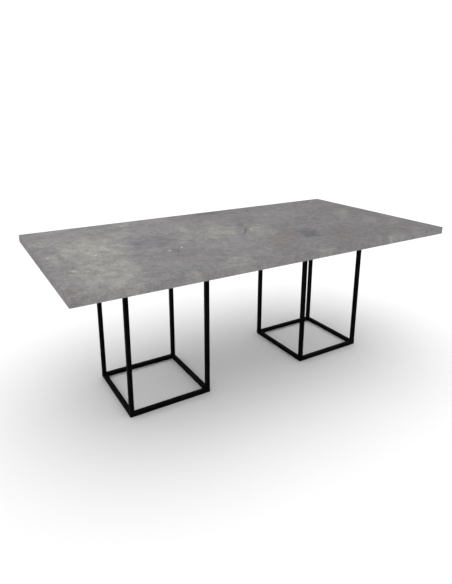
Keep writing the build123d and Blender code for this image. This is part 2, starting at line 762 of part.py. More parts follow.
def leaf_fit_places():
    """The dowels' and sleeves' places along Y, folded, so that they meet the halves' when it is open."""
    return [fold_y - place for place in dowel_places]


def leaf_board(z0, into_board):
    """One of the leaf's boards; into_board is 1 where its hinge screws point up, -1 down."""
    middle_z = z0 + top_thick / 2
    cuts = []
    for y in leaf_fit_places():
        cuts += [dowel_hole(leaf_half, y, middle_z), bush_hole(-leaf_half, y, middle_z)]
    face = z0 if into_board > 0 else z0 + top_thick
    for x in hinge_screw_xs():
        cuts.append(upright(x, hinge_screw_y, face - into_board * spare,
                            face + into_board * (hinge_screw_grip + spare), hinge_screw_radius + thread_gap))
    core = board(-leaf_half, leaf_half, leaf_near_y, leaf_far_y, z0) - cuts
    edges = [band - cuts for band in bands(-leaf_half, leaf_half, leaf_near_y, leaf_far_y, z0)]
    return core, edges


def hinge_screw_xs():
    """Two screws in each hinge plate."""
    return [middle + sign * hinge_length / 4 for middle in hinge_places for sign in (-1, 1)]


def hinge_plate(x, into_board):
    """A hinge leaf with its knuckles: two outer ones above, the middle one below."""
    face = hinge_z + into_board * fold_gap / 2
    inner = face - into_board * hinge_plate_thick
    plate = block(x - hinge_length / 2, x + hinge_length / 2, fold_y - hinge_reach, fold_y, face, inner)
    middle = knuckle / 2
    spans = [(x - middle, x + middle)]
    half = hinge_length / 2
    others = [(x - half, x - middle - knuckle_gap), (x + middle + knuckle_gap, x + half)]
    if into_board > 0:
        spans, others = others, spans
    for x0, x1 in others:
        plate -= block(x0 - knuckle_gap, x1 + knuckle_gap, fold_y - hinge_radius - 2 * knuckle_gap,
                       fold_y + spare, hinge_z - fold_gap, hinge_z + fold_gap)
    for x0, x1 in spans:
        plate += along_x(x0, x1, fold_y, hinge_z, hinge_radius)
    plate -= along_x(x - hinge_length, x + hinge_length, fold_y, hinge_z, hinge_pin_radius + running_gap)
    for sign in (-1, 1):
        plate -= hinge_screw(x + sign * hinge_length / 4, into_board, thread_gap)
    return plate


def hinge_screw(x, into_board, gap):
    """A small countersunk screw; with a gap, the room that it needs in the plate."""
    face = hinge_z + into_board * fold_gap / 2
    inner = face - into_board * hinge_plate_thick
    shank = hinge_screw_radius + gap
    wide = 2 * hinge_screw_radius + gap
    low, high = sorted((inner, face))
    cone = Cone(wide, shank, high - low) if into_board > 0 else Cone(shank, wide, high - low)
    head = Pos(x, hinge_screw_y, (low + high) / 2) * cone
    return head + upright(x, hinge_screw_y, inner, face + into_board * hinge_screw_grip, shank)


upper_core, upper_bands = leaf_board(upper_leaf_z, 1)
lower_core, lower_bands = leaf_board(lower_leaf_z, -1)
save("leaf_upper_board", [upper_core])
save("leaf_lower_board", [lower_core])
save("leaf_edge_bands", upper_bands + lower_bands)
save("leaf_hinge_plates", [hinge_plate(x, way) for x in hinge_places for way in (1, -1)])
save("leaf_hinge_pins", [along_x(x - hinge_length / 2, x + hinge_length / 2, fold_y, hinge_z,
                                 hinge_pin_radius) for x in hinge_places])
save("leaf_hinge_screws", [hinge_screw(x, way, 0) for x in hinge_screw_xs() for way in (1, -1)])
leaf_levels = [upper_leaf_z + top_thick / 2, lower_leaf_z + top_thick / 2]
save("leaf_dowels", [dowel(leaf_half, y, z) for y in leaf_fit_places() for z in leaf_levels])
save("leaf_dowel_bushes", [bush(-leaf_half, y, z) for y in leaf_fit_places() for z in leaf_levels])

print(f"travel of each half {slide_travel:.1f}, leaf {leaf_length:.1f}, pinion axis y {pinion_y:.3f}")
print(f"pinion radius {gear_radius}, lock pivot x {-lock_x} y {lock_y:.2f}, bar end {bar_end:.1f}")
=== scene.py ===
# %% [markdown]
# # An extendable dining table
# Two half tops with a concrete look stand on two black cube frames. Rails, a rack and pinion and a
# folded leaf are hidden under the top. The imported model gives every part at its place, in metres, so
# this script adds the finishes, the small made details, the light and the camera.

# %% Load the frame
import math
import random

import bmesh
import bpy
from mathutils import Matrix, Vector


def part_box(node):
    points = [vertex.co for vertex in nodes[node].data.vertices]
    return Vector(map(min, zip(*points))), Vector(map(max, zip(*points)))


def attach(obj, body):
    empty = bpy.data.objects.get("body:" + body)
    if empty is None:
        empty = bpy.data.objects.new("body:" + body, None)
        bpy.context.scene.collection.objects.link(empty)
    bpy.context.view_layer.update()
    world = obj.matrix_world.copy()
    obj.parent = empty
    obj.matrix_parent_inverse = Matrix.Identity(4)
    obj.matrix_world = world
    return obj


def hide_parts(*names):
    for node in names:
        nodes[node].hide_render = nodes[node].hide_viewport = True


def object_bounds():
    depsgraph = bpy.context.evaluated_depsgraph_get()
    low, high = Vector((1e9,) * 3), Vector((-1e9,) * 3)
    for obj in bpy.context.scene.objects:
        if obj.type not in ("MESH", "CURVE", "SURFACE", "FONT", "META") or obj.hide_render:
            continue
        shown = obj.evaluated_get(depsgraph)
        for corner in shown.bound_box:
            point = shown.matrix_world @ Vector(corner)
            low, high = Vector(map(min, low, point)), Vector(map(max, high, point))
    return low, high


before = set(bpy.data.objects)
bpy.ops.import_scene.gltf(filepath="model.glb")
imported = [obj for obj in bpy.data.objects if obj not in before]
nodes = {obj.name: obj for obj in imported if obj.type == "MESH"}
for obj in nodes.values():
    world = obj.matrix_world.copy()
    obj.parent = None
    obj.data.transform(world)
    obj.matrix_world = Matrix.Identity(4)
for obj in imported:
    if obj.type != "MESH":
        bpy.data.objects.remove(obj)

cad_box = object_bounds()
print("nodes", len(nodes), "box", [[round(value, 4) for value in corner] for corner in cad_box])

# %% [markdown]
# ## Sizes read from the frame
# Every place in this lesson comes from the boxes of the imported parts. A table maker would measure the
# same things with a rule: how high the top is, where each base stands and how thick its tube is.

# %% Measure the main parts
MM = 0.001
post_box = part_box("right_posts")
base_x = (post_box[0][0] + post_box[1][0]) / 2
base_half = (post_box[1][0] - post_box[0][0]) / 2
post_low = post_box[0][2]
post_high = post_box[1][2]
frame_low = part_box("right_floor_frame")[0][2]
tube = post_low - frame_low
tube_line = base_half - tube / 2
panel_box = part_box("right_top_panel")
under_z = panel_box[0][2]
top_z = cad_box[1][2]
half_length = cad_box[1][0]
half_width = cad_box[1][1]
band = half_width - panel_box[1][1]
fold_z = (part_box("leaf_lower_board")[1][2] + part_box("leaf_upper_board")[0][2]) / 2
print(f"base centre {base_x:.3f} m, half side {base_half:.3f} m, tube {tube / MM:.1f} mm")
print(f"top from {under_z:.3f} m to {top_z:.3f} m, edge band {band / MM:.1f} mm, fold at {fold_z:.4f} m")

# %% [markdown]
# ## Camera
# The table is seen from standing height, from its front left corner. The lens is a little wide, which
# is why the near corner looks large. The small shift moves the picture on the film, as an architect's
# camera does, so the table sits high in the frame while the view stays the same.

# %% Place the camera
CAMERA_PLACE = (-1.3338, -2.0520, 1.3641)
CAMERA_HEADING = -30.87
CAMERA_DIP = 16.03
LENS = 29.6
FILM_HEIGHT = 36.0
FILM_SHIFT = (0.0104, -0.0769)
camera_data = bpy.data.cameras.new("camera")
camera_data.sensor_fit = "VERTICAL"
camera_data.sensor_height = FILM_HEIGHT
camera_data.lens = LENS
camera_data.shift_x = FILM_SHIFT[0]
camera_data.shift_y = FILM_SHIFT[1]
camera_data.clip_end = 100.0
camera = bpy.data.objects.new("camera", camera_data)
camera.location = CAMERA_PLACE
camera.rotation_euler = (math.radians(90 - CAMERA_DIP), 0.0, math.radians(CAMERA_HEADING))
bpy.context.scene.collection.objects.link(camera)
bpy.context.scene.camera = camera
bpy.context.scene.view_settings.view_transform = "Standard"
print("camera", [round(value, 3) for value in camera.location])

# %% [markdown]
# ## Tools for building a finish
# A finish is a small network of nodes. Wiring it by hand takes three lines for every node, so these
# helpers add one node at a time and read like a recipe. The first puts any node with its inputs, and
# the next two calculate with numbers and with positions.

# %% Put a node and calculate
def put(tree, kind, inputs=None, **options):
    """Add a node, set its options, and fill its inputs with numbers or with other nodes' outputs."""
    node = tree.nodes.new("ShaderNode" + kind)
    for name, value in options.items():
        setattr(node, name, value)
    for name, value in (inputs or {}).items():
        if isinstance(value, bpy.types.NodeSocket):
            tree.links.new(value, node.inputs[name])
        else:
            node.inputs[name].default_value = value
    return node


def calc(tree, operation, *values):
    """One step of arithmetic on numbers."""
    return put(tree, "Math", dict(enumerate(values)), operation=operation).outputs[0]


def vector_calc(tree, operation, *values):
    """One step of arithmetic on vectors."""
    node = put(tree, "VectorMath", dict(enumerate(values)), operation=operation)
    return node.outputs["Value" if operation == "LENGTH" else "Vector"]


print("put, calc and vector_calc ready")

# %% [markdown]
# ### Masks and colours
# A mask is a number from 0 to 1 that changes over the surface. A value is faded into a mask by a smooth
# step, one colour is tinted over another by that mask, and a position is split into x, y and z when only
# its height or its side matters.

# %% Fade, tint and split
def fade(tree, value, start, end, low=0.0, high=1.0):
    """A smooth step, from low where the value is at start to high where it is at end."""
    steps = {"Value": value, "From Min": start, "From Max": end, "To Min": low, "To Max": high}
    return put(tree, "MapRange", steps, interpolation_type="SMOOTHSTEP").outputs["Result"]


def tint(tree, amount, under, over, mode="MIX"):
    """Lay one colour over another by a mask."""
    return put(tree, "Mix", {0: amount, 6: under, 7: over}, data_type="RGBA", blend_type=mode).outputs[2]


def split(tree, position):
    """The x, y and z of a position."""
    return put(tree, "SeparateXYZ", {"Vector": position}).outputs[:3]


print("fade, tint and split ready")

# %% [markdown]
# ### Starting and ending a finish
# Every finish starts with the same shader and with the coordinates of the object itself, so a pattern
# stays on its piece when the piece moves. It ends by feeding the shader and giving it fine relief. The
# relief is a bump and not real geometry, because it is far finer than the mesh.

# %% Open and close a finish
def new_finish(name):
    """A new material: its tree, its shader and the node that gives Object coordinates."""
    material = bpy.data.materials.new(name)
    material.use_nodes = True
    tree = material.node_tree
    return material, tree, tree.nodes["Principled BSDF"], put(tree, "TexCoord")


def connect(tree, shader, **sources):
    """Feed sockets of the shader, named with _ for a space."""
    for name, source in sources.items():
        tree.links.new(source, shader.inputs[name.replace("_", " ")])


def rough_bump(tree, shader, height, strength, depth):
    """Turn a height into fine relief of at most that depth, in metres."""
    bump = put(tree, "Bump", {"Height": height, "Strength": strength, "Distance": depth})
    tree.links.new(bump.outputs["Normal"], shader.inputs["Normal"])


finishes = {}
print("new_finish, connect and rough_bump ready")

# %% [markdown]
# ## Floor
# A pale studio floor takes the broad soft shadow of the table. A studio lays a paper roll that curves up
# behind the object, so that no horizon shows. Here one large flat sheet does it: its paint gets paler
# away from the table, until the floor runs into the white behind it. It is made with a grid of one face
# and marked as stage, so it isn't part of the table.

# %% Lay the floor
FLOOR_HALF = 30.0
# Painted light in the floor's colour: darker near the table as painted shade, paler far off as painted
# light.
FLOOR_PAINTED_SHADE = (0.79, 0.79, 0.79, 1.0)
FLOOR_PAINTED_LIGHT = (0.98, 0.98, 0.98, 1.0)
PAINTED_LIGHT_FADE = (2.2, 7.5)
floor_mesh = bpy.data.meshes.new("studio_floor")
floor_sheet = bmesh.new()
bmesh.ops.create_grid(floor_sheet, x_segments=1, y_segments=1, size=FLOOR_HALF)
floor_sheet.to_mesh(floor_mesh)
floor_sheet.free()
floor = bpy.data.objects.new("studio_floor", floor_mesh)
bpy.context.scene.collection.objects.link(floor)
floor_painted_light, floor_tree, floor_shader, floor_place = new_finish("floor_painted_light")
floor_reach = vector_calc(floor_tree, "LENGTH", floor_place.outputs["Object"])
distance_painted_light = fade(floor_tree, floor_reach, *PAINTED_LIGHT_FADE)
connect(floor_tree, floor_shader, Base_Color=tint(floor_tree, distance_painted_light, FLOOR_PAINTED_SHADE, FLOOR_PAINTED_LIGHT))
floor_shader.inputs["Roughness"].default_value = 0.9
floor_shader.inputs["Specular IOR Level"].default_value = 0.0
floor_mesh.materials.append(floor_painted_light)
print("floor", floor.name, "half side", FLOOR_HALF, "m")

# %% [markdown]
# ## Light
# Several lamps behind cloth would give the even light of a catalogue studio. One white world background
# does the same, like a tent of cloth, and leaves no hard edge anywhere. A wide disc lamp overhead
# deepens the shadow under the table, because its light comes only from above.

# %% Light the dome and the lamp
DOME_STRENGTH = 1.04
LAMP_WIDTH = 10.0
LAMP_WATTS = 240.0
LAMP_HEIGHT = 6.0
dome = bpy.data.worlds.new("white_dome")
dome.use_nodes = True
dome_light = dome.node_tree.nodes["Background"]
dome_light.inputs["Color"].default_value = (1.0, 1.0, 1.0, 1.0)
dome_light.inputs["Strength"].default_value = DOME_STRENGTH
bpy.context.scene.world = dome
lamp_data = bpy.data.lights.new("overhead_lamp", "AREA")
lamp_data.shape = "DISK"
lamp_data.size = LAMP_WIDTH
lamp_data.energy = LAMP_WATTS
lamp = bpy.data.objects.new("overhead_lamp", lamp_data)
lamp.location = (0.0, 0.0, LAMP_HEIGHT)
bpy.context.scene.collection.objects.link(lamp)
print("dome", DOME_STRENGTH, "lamp", LAMP_WATTS, "W")

# %% [markdown]
# ## Effects shared by several finishes
# Clouds of tone, worn edges, drawn lines, specks and dust turn up on more than one material. Each is a
# node group, built once, with named inputs, so every finish can use it at its own scale. A group gives
# only masks and heights. The shader and its plain numbers stay in each material.

# %% Start a group
def open_group(name, inputs, outputs):
    """A shader node group with named sockets, and its input and output nodes."""
    group = bpy.data.node_groups.new(name, "ShaderNodeTree")
    for label, (kind, value) in inputs.items():
        socket = group.interface.new_socket(name=label, in_out="INPUT", socket_type="NodeSocket" + kind)
        socket.default_value = value
    for label in outputs:
        group.interface.new_socket(name=label, in_out="OUTPUT", socket_type="NodeSocketFloat")
    return group, group.nodes.new("NodeGroupInput").outputs, group.nodes.new("NodeGroupOutput").inputs


ORIGIN = ("Vector", (0.0, 0.0, 0.0))
print("group helper ready, positions start at", ORIGIN[1])

# %% [markdown]
# ### Clouds
# Almost every finish is a little uneven: paint flows, metal dulls in patches, a print has darker
# regions. A noise texture that is faded between two levels gives such clouds, with soft rims when the
# levels are far apart and harder ones when they are close.

# %% Clouds of tone
CLOUD_ROUGHNESS = 0.58
cloud_group, given, result = open_group(
    "cloudy_tone",
    {"Position": ORIGIN, "Scale": ("Float", 5.0), "Detail": ("Float", 4.0),
     "Start": ("Float", 0.4), "End": ("Float", 0.6)},
    ["Mask"])
cloud_noise = put(cloud_group, "TexNoise", {
    "Vector": given["Position"], "Scale": given["Scale"], "Detail": given["Detail"],
    "Roughness": CLOUD_ROUGHNESS})
cloud_mask = fade(cloud_group, cloud_noise.outputs[0], given["Start"], given["End"])
cloud_group.links.new(cloud_mask, result["Mask"])


def clouds(tree, position, scale, start=0.4, end=0.6, detail=4.0):
    """A cloudy mask: 0 where the noise is under start, 1 where it is over end."""
    inputs = {"Position": position, "Scale": scale, "Detail": detail, "Start": start, "End": end}
    return put(tree, "Group", inputs, node_tree=cloud_group).outputs["Mask"]


print("group", cloud_group.name, [item.name for item in cloud_group.interface.items_tree])

# %% [markdown]
# ### Stains
# A stain is a soft oval. Its position is turned and divided by the oval's size, so that the oval's rim
# is at distance 1 whatever its shape, and the mask fades in from there.

# %% Soft stains
stain_group, given, result = open_group(
    "soft_stain",
    {"Position": ORIGIN, "Centre": ORIGIN, "Size": ("Vector", (0.1, 0.1, 9.0)),
     "Angle": ("Float", 0.0), "Softness": ("Float", 0.8)},
    ["Mask"])
stain_turn = put(stain_group, "VectorRotate", {
    "Vector": given["Position"], "Center": given["Centre"],
    "Angle": calc(stain_group, "MULTIPLY", given["Angle"], -1.0)}, rotation_type="Z_AXIS")
stain_place = vector_calc(stain_group, "SUBTRACT", stain_turn.outputs["Vector"], given["Centre"])
stain_share = vector_calc(stain_group, "DIVIDE", stain_place, given["Size"])
stain_reach = vector_calc(stain_group, "LENGTH", stain_share)
stain_heart = calc(stain_group, "SUBTRACT", 1.0, given["Softness"])
stain_group.links.new(fade(stain_group, stain_reach, 1.0, stain_heart), result["Mask"])
print("group", stain_group.name)

# %% [markdown]
# ### Worn edges
# Paint and laminate wear first where two faces meet. The material says how far a point is from each of
# the two faces, and the larger distance is how far it is from their edge. A little noise makes the worn
# line ragged, as rubbing does.

# %% Worn edges
wear_group, given, result = open_group(
    "edge_wear",
    {"Position": ORIGIN, "First gap": ("Float", 1.0), "Second gap": ("Float", 1.0),
     "Width": ("Float", 0.001), "Raggedness": ("Float", 1.0)},
    ["Mask"])
wear_noise = put(wear_group, "TexNoise", {"Vector": given["Position"], "Scale": 160.0, "Detail": 3.0})
wear_offset = calc(wear_group, "SUBTRACT", wear_noise.outputs[0], 0.5)
wear_offset = calc(wear_group, "MULTIPLY", wear_offset, given["Raggedness"])
wear_offset = calc(wear_group, "MULTIPLY", wear_offset, given["Width"])
wear_gap = calc(wear_group, "MAXIMUM",
                calc(wear_group, "ABSOLUTE", given["First gap"]),
                calc(wear_group, "ABSOLUTE", given["Second gap"]))
wear_gap = calc(wear_group, "ADD", wear_gap, wear_offset)
wear_group.links.new(fade(wear_group, wear_gap, given["Width"], 0.0), result["Mask"])


def worn_edge(tree, position, first, second, width, raggedness=1.5):
    """A mask that is 1 on the edge where two faces meet."""
    inputs = {"Position": position, "First gap": first, "Second gap": second,
              "Width": width, "Raggedness": raggedness}
    return put(tree, "Group", inputs, node_tree=wear_group).outputs["Mask"]


print("group", wear_group.name)

# %% [markdown]
# ### Drawn lines and grain
# An extruded rail, a drawn tube and a planed strip of beech all carry fine lines along their length. A
# noise that is squeezed across and stretched along gives them, and only the squeeze changes.

# %% Drawn lines
line_group, given, result = open_group(
    "drawn_lines",
    {"Position": ORIGIN, "Squeeze": ("Vector", (3.0, 400.0, 400.0)), "Detail": ("Float", 3.0)},
    ["Height"])
line_place = vector_calc(line_group, "MULTIPLY", given["Position"], given["Squeeze"])
line_noise = put(line_group, "TexNoise", {"Vector": line_place, "Scale": 1.0, "Detail": given["Detail"]})
line_group.links.new(line_noise.outputs[0], result["Height"])


def lines(tree, position, squeeze, detail=3.0):
    """Fine lines along the axis that is squeezed least."""
    inputs = {"Position": position, "Squeeze": squeeze, "Detail": detail}
    return put(tree, "Group", inputs, node_tree=line_group).outputs["Height"]


print("group", line_group.name)

# %% [markdown]
# ### Specks
# Pinholes in concrete, grains in rubber and nibs in paint are small dots at random places. A Voronoi
# texture gives one dot to each cell, and only the cells under a chosen share keep theirs.

# %% Specks
speck_group, given, result = open_group(
    "specks",
    {"Position": ORIGIN, "Scale": ("Float", 20.0), "Size": ("Float", 0.1), "Share": ("Float", 0.2)},
    ["Mask"])
speck_cells = put(speck_group, "TexVoronoi", {"Vector": given["Position"], "Scale": given["Scale"]})
speck_draw = put(speck_group, "SeparateColor", {"Color": speck_cells.outputs["Color"]}).outputs[0]
speck_kept = calc(speck_group, "LESS_THAN", speck_draw, given["Share"])
speck_core = calc(speck_group, "MULTIPLY", given["Size"], 0.5)
speck_dot = fade(speck_group, speck_cells.outputs["Distance"], given["Size"], speck_core)
speck_group.links.new(calc(speck_group, "MULTIPLY", speck_dot, speck_kept), result["Mask"])


def specks(tree, position, scale, size, share):
    """Small round dots, in a share of the cells."""
    inputs = {"Position": position, "Scale": scale, "Size": size, "Share": share}
    return put(tree, "Group", inputs, node_tree=speck_group).outputs["Mask"]


print("group", speck_group.name)

# %% [markdown]
# ### Dust
# A little dust lies on whatever faces up. The shader's own normal in object space says how far up a
# face looks, and clouds keep the film uneven.

# %% Dust
dust_group, given, result = open_group(
    "dust_film", {"Position": ORIGIN, "Normal": ORIGIN, "Scale": ("Float", 40.0)}, ["Mask"])
dust_up = fade(dust_group, split(dust_group, given["Normal"])[2], 0.2, 0.9)
dust_patches = clouds(dust_group, given["Position"], given["Scale"], 0.3, 0.7)
dust_group.links.new(calc(dust_group, "MULTIPLY", dust_up, dust_patches), result["Mask"])


def dust(tree, place, scale=40.0):
    """A mask of dust on the faces that look up."""
    inputs = {"Position": place.outputs["Object"], "Normal": place.outputs["Normal"], "Scale": scale}
    return put(tree, "Group", inputs, node_tree=dust_group).outputs["Mask"]


print("group", dust_group.name)

# %% [markdown]
# ## Concrete-look laminate
# The top is a printed laminate that copies trowelled concrete: a cool grey ground with large pale
# patches where the float pressed, darker purple and pinkish clouds, a few scrapes and white specks.
# Plain noise alone looks the same everywhere, so the large patches are placed one by one as soft stains,
# as a decor printer lays out a sheet, and noise only warps their rims and breaks up their inside. The
# depth coordinate is squeezed, so that on the edges the pattern runs down like a wrapped print.

# %% Lay out the stains
# Each stain: middle x and y, half sizes, turn in degrees, strength.
STAINS = {
    "olive": [
        (-0.76, 0.04, 0.20, 0.33, 0, 1.00), (-0.78, -0.28, 0.16, 0.30, -6, 0.95),
        (-0.92, 0.26, 0.10, 0.09, 0, 0.80), (-0.95, -0.03, 0.05, 0.13, 0, 0.50),
        (-0.24, 0.18, 0.035, 0.16, -20, 0.85), (-0.33, -0.02, 0.04, 0.13, -25, 0.55),
        (-0.10, 0.05, 0.14, 0.20, -30, 0.90), (0.12, -0.06, 0.09, 0.17, -28, 0.75),
        (0.79, 0.05, 0.19, 0.06, 50, 0.70), (0.78, -0.17, 0.12, 0.05, 45, 0.60),
        (-0.29, -0.45, 0.10, 0.08, 0, 0.50), (-0.40, 0.46, 0.20, 0.07, 0, 0.55),
        (0.95, -0.20, 0.06, 0.12, -30, 0.35), (0.02, 0.24, 0.14, 0.10, 30, 0.35),
        (-0.56, 0.24, 0.12, 0.10, 0, 0.55), (0.64, -0.50, 0.09, 0.05, 0, 0.65),
        (0.16, -0.50, 0.07, 0.05, 0, 0.60), (-0.52, -0.50, 0.06, 0.05, 0, 0.50)],
    "violet": [
        (-0.46, 0.05, 0.17, 0.17, 0, 1.00), (-0.40, -0.22, 0.18, 0.16, -20, 0.75),
        (0.20, -0.10, 0.30, 0.10, 45, 0.40), (0.47, 0.02, 0.15, 0.13, 35, 0.75),
        (0.44, -0.27, 0.10, 0.07, 0, 0.85), (0.93, -0.02, 0.08, 0.20, 0, 0.55),
        (0.08, 0.46, 0.11, 0.07, 0, 0.80), (0.70, 0.36, 0.26, 0.10, 10, 0.40),
        (-0.05, -0.45, 0.26, 0.09, 0, 0.55), (0.05, 0.20, 0.10, 0.06, 40, 0.45)],
    "pink": [
        (0.14, -0.24, 0.34, 0.10, 45, 0.95), (0.43, -0.33, 0.28, 0.10, 42, 0.90),
        (0.80, -0.40, 0.22, 0.10, 25, 0.80), (-0.97, -0.46, 0.07, 0.10, 0, 0.80),
        (-0.47, -0.29, 0.05, 0.06, 0, 0.40)],
    "teal": [
        (-0.07, -0.31, 0.10, 0.09, 0, 0.60), (0.64, -0.24, 0.07, 0.06, 0, 0.60),
        (-0.48, -0.43, 0.10, 0.08, 0, 0.55), (-0.62, 0.46, 0.20, 0.06, 0, 0.45),
        (0.51, 0.44, 0.07, 0.06, 0, 0.45)],
    "blue": [
        (0.29, -0.22, 0.065, 0.12, -28, 1.00), (0.08, 0.465, 0.09, 0.035, 0, 0.80),
        (0.08, 0.10, 0.03, 0.08, -50, 0.45), (-0.56, 0.00, 0.03, 0.10, 10, 0.50),
        (0.89, -0.36, 0.06, 0.04, 0, 0.35)],
    "scrape": [
        (0.03, -0.03, 0.10, 0.012, 52, 0.70), (0.23, 0.37, 0.045, 0.016, -38, 0.70),
        (-0.42, -0.16, 0.10, 0.008, 62, 0.40), (0.49, -0.17, 0.11, 0.008, 62, 0.40),
        (-0.55, 0.16, 0.05, 0.010, 10, 0.45), (-0.32, 0.11, 0.010, 0.025, 0, 0.55)],
    "chalk": [
        (-0.77, -0.05, 0.009, 0.011, 0, 1.0), (-0.39, -0.13, 0.009, 0.009, 0, 1.0),
        (-0.46, -0.15, 0.006, 0.011, 20, 0.9), (-0.96, 0.01, 0.007, 0.014, 0, 0.8),
        (-0.91, -0.22, 0.020, 0.016, 0, 0.6), (-0.93, -0.26, 0.014, 0.018, 0, 0.5),
        (-0.49, 0.41, 0.011, 0.016, 0, 0.7), (-0.42, 0.40, 0.010, 0.014, 0, 0.5),
        (0.18, 0.07, 0.012, 0.010, 0, 0.8), (0.08, -0.01, 0.008, 0.012, -30, 0.8),
        (0.37, 0.26, 0.010, 0.030, -35, 0.4), (0.54, 0.05, 0.006, 0.022, -45, 0.6),
        (0.49, 0.00, 0.010, 0.009, 0, 0.7), (0.84, 0.30, 0.009, 0.012, 0, 0.5)],
}
print("stains", {tone: len(places) for tone, places in STAINS.items()})

# %% [markdown]
# ### Inks
# The decor is printed with a few inks over a grey ground. Each stain has its ink, and each ink is only a
# little off the ground, because a strong one would read as paint. The colour gets slightly darker from
# one end of the top to the other, and the upright faces of the edge bands are painted lighter, as painted
# light.

# %% Mix the inks
TONES = {
    "olive": (0.224, 0.222, 0.202, 1.0), "violet": (0.134, 0.128, 0.134, 1.0),
    "pink": (0.150, 0.133, 0.133, 1.0), "teal": (0.140, 0.146, 0.143, 1.0),
    "blue": (0.090, 0.090, 0.103, 1.0), "scrape": (0.080, 0.078, 0.079, 1.0),
    "chalk": (0.36, 0.35, 0.33, 1.0)}
GROUND = (0.174, 0.169, 0.168, 1.0)
GROUND_DARK = (0.148, 0.143, 0.144, 1.0)
BACKING = (0.050, 0.050, 0.052, 1.0)
BACKING_FIBRE = (0.085, 0.084, 0.083, 1.0)
# The colour is made darker along X, from one end of the top to the other, between these places and levels.
SHADE_PLACES = (-0.9, 0.7)
SHADE_LEVELS = (1.09, 0.90)
# Painted light: the colour of the edge strips' upright faces is multiplied by this, so they look lighter.
UPRIGHT_PAINTED_LIGHT = 1.36
print("inks", sorted(TONES))

# %% [markdown]
# ### Warping the stains
# A plain oval looks drawn. A slow noise pushes every point about before the stains are laid, so their
# rims wander as trowelled cement does. All the stains of one ink then share one mask, the largest of
# them at each point, so that where two overlap the ink isn't doubled. The depth is squeezed first.

# %% Warp the pattern
DEPTH_SQUEEZE = (1.0, 1.0, 0.35)
PUSH_REACH = (0.15, 0.15, 0.0)
STAIN_DEPTH = 1000.0
STAIN_SOFTNESS = 0.6


def warped_place(tree, position):
    """The position with its depth squeezed, and the same pushed about by a slow noise."""
    wrapped = vector_calc(tree, "MULTIPLY", position, DEPTH_SQUEEZE)
    slow = put(tree, "TexNoise", {"Vector": wrapped, "Scale": 7.0, "Detail": 5.0, "Roughness": 0.65})
    push = vector_calc(tree, "SUBTRACT", slow.outputs["Color"], (0.5, 0.5, 0.5))
    push = vector_calc(tree, "MULTIPLY", push, PUSH_REACH)
    return wrapped, vector_calc(tree, "ADD", wrapped, push)


def stain_mask(tree, position, places):
    """All the stains of one tone in one mask."""
    total = None
    for x, y, across, along, turn, strength in places:
        inputs = {"Position": position, "Centre": (x, y, 0.0), "Size": (across, along, STAIN_DEPTH),
                  "Angle": math.radians(turn), "Softness": STAIN_SOFTNESS}
        one = put(tree, "Group", inputs, node_tree=stain_group).outputs["Mask"]
        one = calc(tree, "MULTIPLY", one, strength)
        total = one if total is None else calc(tree, "MAXIMUM", total, one)
    return total


print("warp reach", PUSH_REACH[0], "m, softness", STAIN_SOFTNESS)

# %% [markdown]
# ### Ground and stains
# The finish is built up as a painter would: the ground first, darker in clouds, then ink over ink. The
# large stains are broken up by ragged clouds, so some of the ground shows through them. The scrapes and
# the chalky dots are small and stay whole, or they would vanish.

# %% Print the ground and the stains
SMALL_MARKS = ("scrape", "chalk")


def stained_ground(tree, wrapped, warped):
    """The grey ground with every ink laid over it."""
    darker = clouds(tree, warped, scale=2.6, start=0.36, end=0.64, detail=5.0)
    colour = tint(tree, darker, GROUND, GROUND_DARK)
    ragged = clouds(tree, wrapped, scale=9.0, start=0.30, end=0.62, detail=6.0)
    broken = calc(tree, "MULTIPLY_ADD", ragged, 0.45, 0.50)
    for tone, places in STAINS.items():
        small = tone in SMALL_MARKS
        mask = stain_mask(tree, wrapped if small else warped, places)
        mask = mask if small else calc(tree, "MULTIPLY", mask, broken)
        colour = tint(tree, mask, colour, TONES[tone])
    blotches = clouds(tree, warped, scale=15.0, start=0.42, end=0.66, detail=4.0)
    return tint(tree, calc(tree, "MULTIPLY", blotches, 0.45), colour, TONES["violet"])


print("small marks", SMALL_MARKS)

# %% [markdown]
# ### Mottling, grit and pinholes
# Seen close, concrete is never one grey. Two noises lighten and darken the print, one as wide as a
# finger and one as fine as sand. Last come the chalky grit, which gathers in patches, and the dark
# pinholes of burst air bubbles, in two sizes.

# %% Mottle the print
def mottled_print(tree, position, shade):
    """The whole printed colour, times a shade, then the mottling and the wrapped place."""
    wrapped, warped = warped_place(tree, position)
    colour = stained_ground(tree, wrapped, warped)
    mottling = put(tree, "TexNoise", {"Vector": position, "Scale": 34.0, "Detail": 6.0, "Roughness": 0.80})
    broad = fade(tree, mottling.outputs[0], 0.28, 0.72, low=0.79, high=1.21)
    colour = tint(tree, 1.0, colour, broad, "MULTIPLY")
    sand = put(tree, "TexNoise", {"Vector": position, "Scale": 130.0, "Detail": 5.0, "Roughness": 0.72})
    fine = fade(tree, sand.outputs[0], 0.32, 0.68, low=0.83, high=1.17)
    colour = tint(tree, 1.0, colour, fine, "MULTIPLY")
    colour = tint(tree, 1.0, colour, shade, "MULTIPLY")
    patchy = calc(tree, "MULTIPLY", clouds(tree, wrapped, scale=4.5, start=0.45, end=0.60), 0.60)
    grit = calc(tree, "MULTIPLY", specks(tree, wrapped, scale=34.0, size=0.12, share=0.22), patchy)
    colour = tint(tree, grit, colour, TONES["chalk"])
    large_holes = specks(tree, warped, scale=52.0, size=0.13, share=0.14)
    small_holes = specks(tree, position, scale=95.0, size=0.15, share=0.16)
    holes = calc(tree, "MULTIPLY", calc(tree, "MAXIMUM", large_holes, small_holes), 0.55)
    return tint(tree, holes, colour, TONES["scrape"]), mottling.outputs[0], wrapped


print("mottling ready")

